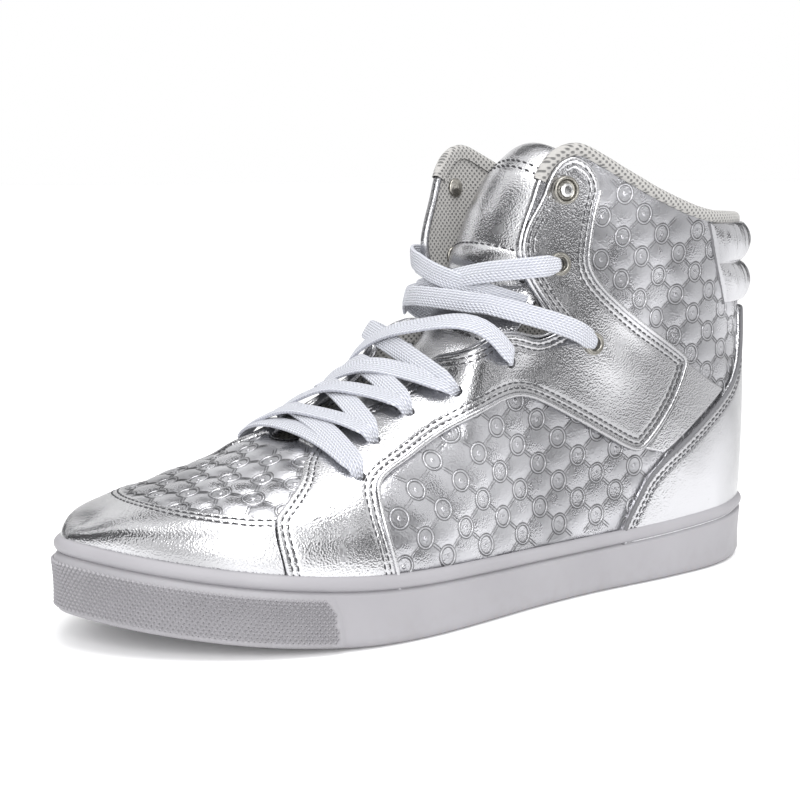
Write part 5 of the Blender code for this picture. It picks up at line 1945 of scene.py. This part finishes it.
def lace_band(path, outs, tucked=(True, True)):
    """Points, faces and UVs of one lace. tucked ends narrow as they enter a hole."""
    lengths = lengths_along(path)
    points, uvs = [], []
    for k in range(len(path)):
        run = path[min(k + 1, len(path) - 1)] - path[max(k - 1, 0)]
        run /= np.linalg.norm(run)
        across = np.cross(run, outs[k])
        across /= np.linalg.norm(across)
        up = np.cross(across, run)
        narrow = 1.0
        for tuck, gone in zip(tucked, (lengths[k], lengths[-1] - lengths[k])):
            if tuck:
                t = min(max((gone - 0.0025) / 0.0090, 0.0), 1.0)
                narrow = min(narrow, 0.52 + 0.48 * t * t * (3 - 2 * t))
        for a, u in band_section(LACE_WIDTH * narrow, LACE_THICK * (1.25 - 0.25 * narrow)):
            points.append(path[k] + across * a + up * u)
            uvs.append((lengths[k], 0.5 + a / LACE_WIDTH))
    faces = ring_faces(len(path), BAND)
    faces.append(tuple(range(BAND))[::-1])
    faces.append(tuple((len(path) - 1) * BAND + s for s in range(BAND)))
    return points, faces, uvs


def lace_piece(name, bands, node):
    """All the bands of one lacing as a piece."""
    piece = mesh_object(name, *joined(band[:2] for band in bands), lace_cloth)
    put_uv(piece, [uv for band in bands for uv in band[2]])
    face_outwards(piece)
    return hand_over(piece, "lace_cloth", node)


# %% Laces across the throat
def crossing_lace(start, end, layer, hump):
    """A lace across the throat along the section of the last, dipping into both holes."""
    (a, a_out), (b, b_out) = start, end
    up = (a_out + b_out) / np.linalg.norm(a_out + b_out)
    heart = (a + b) / 2 - up * 0.072 * SHOE_HEIGHT
    steps = 44
    path, outs = [], []
    reach = np.linalg.norm(b - a)
    for k in range(steps + 1):
        t = k / steps
        aim = (a - heart) * (1 - t) + (b - heart) * t
        aim /= np.linalg.norm(aim)
        hit = LAST_TREE.ray_cast(Vector(heart), Vector(aim))
        near = min(t, 1 - t) * reach
        ease = math.sin(min(near / DIP_RUN, 1.0) * math.pi / 2)
        lift = (LACE_BASE + layer * 0.0004 + DIP_DEPTH) * ease - DIP_DEPTH
        lift += hump * math.exp(-((t - 0.5) * reach / CROSSING_RUN) ** 2)
        path.append(np.array(hit[0]) + np.array(hit[1]) * lift)
        outs.append(aim)
    return lace_band(relaxed(np.array(path)), outs)


throat_bands = [crossing_lace(HOLES[1][0], HOLES[-1][0], 0, 0.0)]
for k in range(len(LACE_HOLES) - 1):
    throat_bands.append(crossing_lace(HOLES[1][k], HOLES[-1][k + 1], 1, -0.0003))
    throat_bands.append(crossing_lace(HOLES[-1][k], HOLES[1][k + 1], 2, 0.0014))
lace_piece("throat_laces", throat_bands, "lace_throat")

# %% Laces between the ankle flaps
LEG_LACES = [
    # first eyelet, places, last eyelet, where it rises over the others (y, width, height)
    ((1, 1), [
        (0.448, 0.335, 0.716), (0.486, 0.190, 0.702), (0.501, 0.010, 0.676),
        (0.490, -0.180, 0.650), (0.462, -0.330, 0.626), (0.410, -0.385, 0.580),
    ], (-1, 0), (0.0, 0.01, 0.0)),
    ((1, 0), [
        (0.398, 0.392, 0.584), (0.440, 0.355, 0.610), (0.486, 0.230, 0.636),
        (0.506, 0.000, 0.644), (0.492, -0.180, 0.636), (0.466, -0.300, 0.612),
    ], None, (0.0, 0.040, 0.0024)),
    (None, [
        (0.448, 0.300, 0.636), (0.479, 0.205, 0.660), (0.500, 0.020, 0.694),
        (0.484, -0.190, 0.718), (0.446, -0.345, 0.726),
    ], (-1, 1), (0.003, 0.016, 0.0017)),
]


def eyelet_entry(side, number, towards):
    """The last points of a lace that dips into an eyelet."""
    place, out = EYELET_PLACES[side][number]
    way = towards - place
    way -= out * (way @ out)
    way /= np.linalg.norm(way)
    mouth = place + out * 0.0016 + way * 0.0004
    return [place - out * 0.0022, mouth, place + out * 0.0040 + way * 0.0046]


leg_bands = []
for first, places, last, (rise_y, rise_width, rise) in LEG_LACES:
    route = [np.array(p) * (SOLE_LENGTH, BALL_WIDTH, SHOE_HEIGHT) - (HEEL_REST, 0, 0) for p in places]
    if first:
        route = eyelet_entry(*first, route[0]) + route
    if last:
        route = route + eyelet_entry(*last, route[-1])[::-1]
    path = smooth_path(np.array(route), 9)
    outs = [np.array(LAST_TREE.find_nearest(Vector(p))[1]) for p in path]
    for k, place in enumerate(path):
        place += outs[k] * rise * math.exp(-((place[1] - rise_y) / rise_width) ** 2)
    leg_bands.append(lace_band(path, outs, (bool(first), bool(last))))
lace_piece("leg_laces", leg_bands, "lace_leg")

# %% [markdown]
# The eyelets and studs are turned on a lathe: a profile of radii and heights goes
# round an axis. The eyelet has a rolled flange and a throat that goes through the
# leather. The stud is a cup with a cut stone, and a plain washer inside the flap.

# %% Metal
EYELET_SEAT = 0.0018


def turned(profile, place, out, segments=48):
    """Points and faces of a profile turned about an axis."""
    side = np.cross(out, (0.0, 0.0, 1.0))
    side /= np.linalg.norm(side)
    other = np.cross(out, side)
    points = []
    for radius, height in profile:
        for k in range(segments):
            a = 2 * math.pi * k / segments
            points.append(place + (side * math.cos(a) + other * math.sin(a)) * radius + out * height)
    return points, ring_faces(len(profile), segments)


def metal_piece(name, parts, finish, node=None, flat=False):
    piece = mesh_object(name, *joined(parts), finish, smooth=not flat)
    face_outwards(piece, 0.00001)
    return hand_over(piece, "nickel", *([node] if node else []))


# Profiles as radius and height, in metres.
FLANGE = [
    (0.0021, -0.0045), (0.0023, -0.0008), (0.0024, 0.0005), (0.0027, 0.0010),
    (0.0031, 0.0011), (0.0033, 0.0008), (0.0035, 0.0009), (0.0038, 0.0010),
    (0.0041, 0.0007), (0.0042, 0.0002), (0.0040, -0.0002), (0.0022, -0.0003),
]
WASHER = [
    (0.0023, -0.0042), (0.0024, -0.0048), (0.0030, -0.0051),
    (0.0036, -0.0048), (0.0037, -0.0042), (0.0023, -0.0042),
]
STUD = [
    (0.0001, 0.0003), (0.0026, 0.0003), (0.0034, 0.0003), (0.0038, 0.0008), (0.0040, 0.0019),
    (0.0044, 0.0021), (0.0049, 0.0015), (0.0051, 0.0005), (0.0050, -0.0004), (0.0001, -0.0004),
]
BACK = [
    (0.0001, -0.0056), (0.0016, -0.0054), (0.0019, -0.0050), (0.0030, -0.0052),
    (0.0036, -0.0047), (0.0036, -0.0040), (0.0001, -0.0040),
]
STONE = [(0.0027, 0.0002), (0.0028, 0.0011), (0.0024, 0.0018), (0.0015, 0.0023), (0.0001, 0.0024)]
for side, label in SIDES:
    for number, (place, out) in enumerate(EYELET_PLACES[side]):
        seat = place + out * EYELET_SEAT
        node = "eyelet_%s_%d" % (label, number + 1)
        rings = [turned(profile, seat, out) for profile in (FLANGE, WASHER)]
        metal_piece("ring_of_" + node, rings, aged_nickel, node)
    place, out = share_place(RIVET_PLACE, side)
    seat = place + out * EYELET_SEAT
    cups = [turned(profile, seat, out) for profile in (STUD, BACK)]
    metal_piece("stud_" + label, cups, aged_nickel, "rivet_" + label)
    metal_piece("stud_stone_" + label, [turned(STONE, seat, out, 10)], bright_steel, flat=True)

# %% Punched lace holes
HOLE_WALL = [(0.0021, 0.0013), (0.0020, 0.0011), (0.0019, -0.0026)]
hole_walls = [turned(HOLE_WALL, *hole, 24) for side in (1, -1) for hole in HOLES[side]]
points, faces = joined(hole_walls)
wall_piece = mesh_object("lace_hole_walls", points, [face[::-1] for face in faces], dark_edge_and_shadow)
hand_over(wall_piece, "silver_leather")

# %% [markdown]
# A plain pale floor and soft white light from all round, as in the photograph. Foil
# leather shows only what it mirrors, so black flags stand round the set, as a
# photographer would place them. Only mirrored rays see them: they darken no shadow.

# %% Floor and white room
bpy.context.scene.view_settings.view_transform = "Standard"
WHITE = (1.0, 1.0, 1.0, 1.0)
FLOOR_HALF = 14.0
corners = [(x * FLOOR_HALF, y * FLOOR_HALF, 0.0) for x, y in ((-1, -1), (1, -1), (1, 1), (-1, 1))]
floor_finish, tree, shader = new_material("pale_floor")
set_inputs(tree, shader, Base_Color=(0.96, 0.96, 0.965, 1.0), Roughness=0.6)
set_inputs(tree, shader, Emission_Color=WHITE, Emission_Strength=0.06)
floor = mesh_object("floor", corners, [(0, 1, 2, 3)], floor_finish)
world = bpy.data.worlds.new("studio")
world.use_nodes = True
tree = world.node_tree
set_inputs(tree, tree.nodes["Background"], Color=WHITE, Strength=1.0)
bpy.context.scene.world = world
STUDIO_MIDDLE = Vector((0.1, 0.0, 0.07))


print("floor:", 2 * FLOOR_HALF, "m wide")

# %% Lamps and black flags
def area_light(name, place, size, power):
    lamp = bpy.data.lights.new(name, "AREA")
    lamp.shape = "RECTANGLE"
    lamp.size, lamp.size_y = size
    lamp.energy = power
    made = into_scene(name, lamp)
    made.location = place
    made.rotation_euler = (STUDIO_MIDDLE - Vector(place)).to_track_quat("-Z", "Y").to_euler()


def black_flag(name, direction, distance, size):
    """A dark card that only mirrored rays see, facing the shoe."""
    way = Vector(direction).normalized()
    side = way.cross(Vector((0.0, 0.0, 1.0))).normalized() * size[0] / 2
    up = side.cross(way).normalized() * size[1] / 2
    middle = STUDIO_MIDDLE + way * distance
    corners = [middle - side - up, middle + side - up, middle + side + up, middle - side + up]
    card = mesh_object(name, corners, [(0, 1, 2, 3)], flag_finish)
    card.visible_camera = False
    card.visible_diffuse = False
    card.visible_shadow = False


flag_finish, tree, shader = new_material("black_flag")
set_inputs(tree, shader, Base_Color=(0.012, 0.012, 0.014, 1.0), Roughness=0.9)
area_light("overhead", (0.15, 0.25, 1.2), (0.8, 0.8), 8.0)
area_light("front_box", (0.75, 1.0, 0.65), (0.5, 0.8), 9.0)
FLAGS = [
    # name, direction from the shoe, distance, width and height
    ("flag_toe", (0.85, -0.40, 0.30), 0.9, (1.00, 0.46)),
    ("flag_side", (-0.42, 0.90, 0.02), 1.0, (0.70, 0.26)),
    ("flag_ankle", (-0.30, 0.85, 0.38), 1.0, (0.26, 0.16)),
    ("flag_top", (-0.30, -0.60, 0.74), 1.0, (0.60, 0.42)),
    ("flag_over", (0.10, 0.30, 0.95), 1.3, (0.70, 0.14)),
    ("flag_tip", (0.27, -0.75, 0.60), 1.0, (0.40, 0.30)),
    ("flag_leg", (-0.14, 0.60, 0.78), 1.0, (0.30, 0.34)),
    ("flag_low", (-0.16, 0.92, 0.34), 1.0, (0.34, 0.42)),
    ("flag_tongue", (0.74, -0.10, 0.64), 1.0, (0.56, 0.44)),
    ("flag_strap", (-0.74, 0.67, -0.02), 1.0, (0.16, 0.12)),
    ("flag_inner_front", (0.72, -0.69, -0.01), 1.0, (0.40, 0.14)),
    ("flag_back", (-0.90, -0.30, 0.25), 1.0, (0.40, 0.60)),
    ("flag_inner", (0.20, -0.95, 0.12), 1.0, (0.50, 0.26)),
]
for flag in FLAGS:
    black_flag(*flag)
print("lamps:", len(bpy.data.lights), "flags:", len(FLAGS))
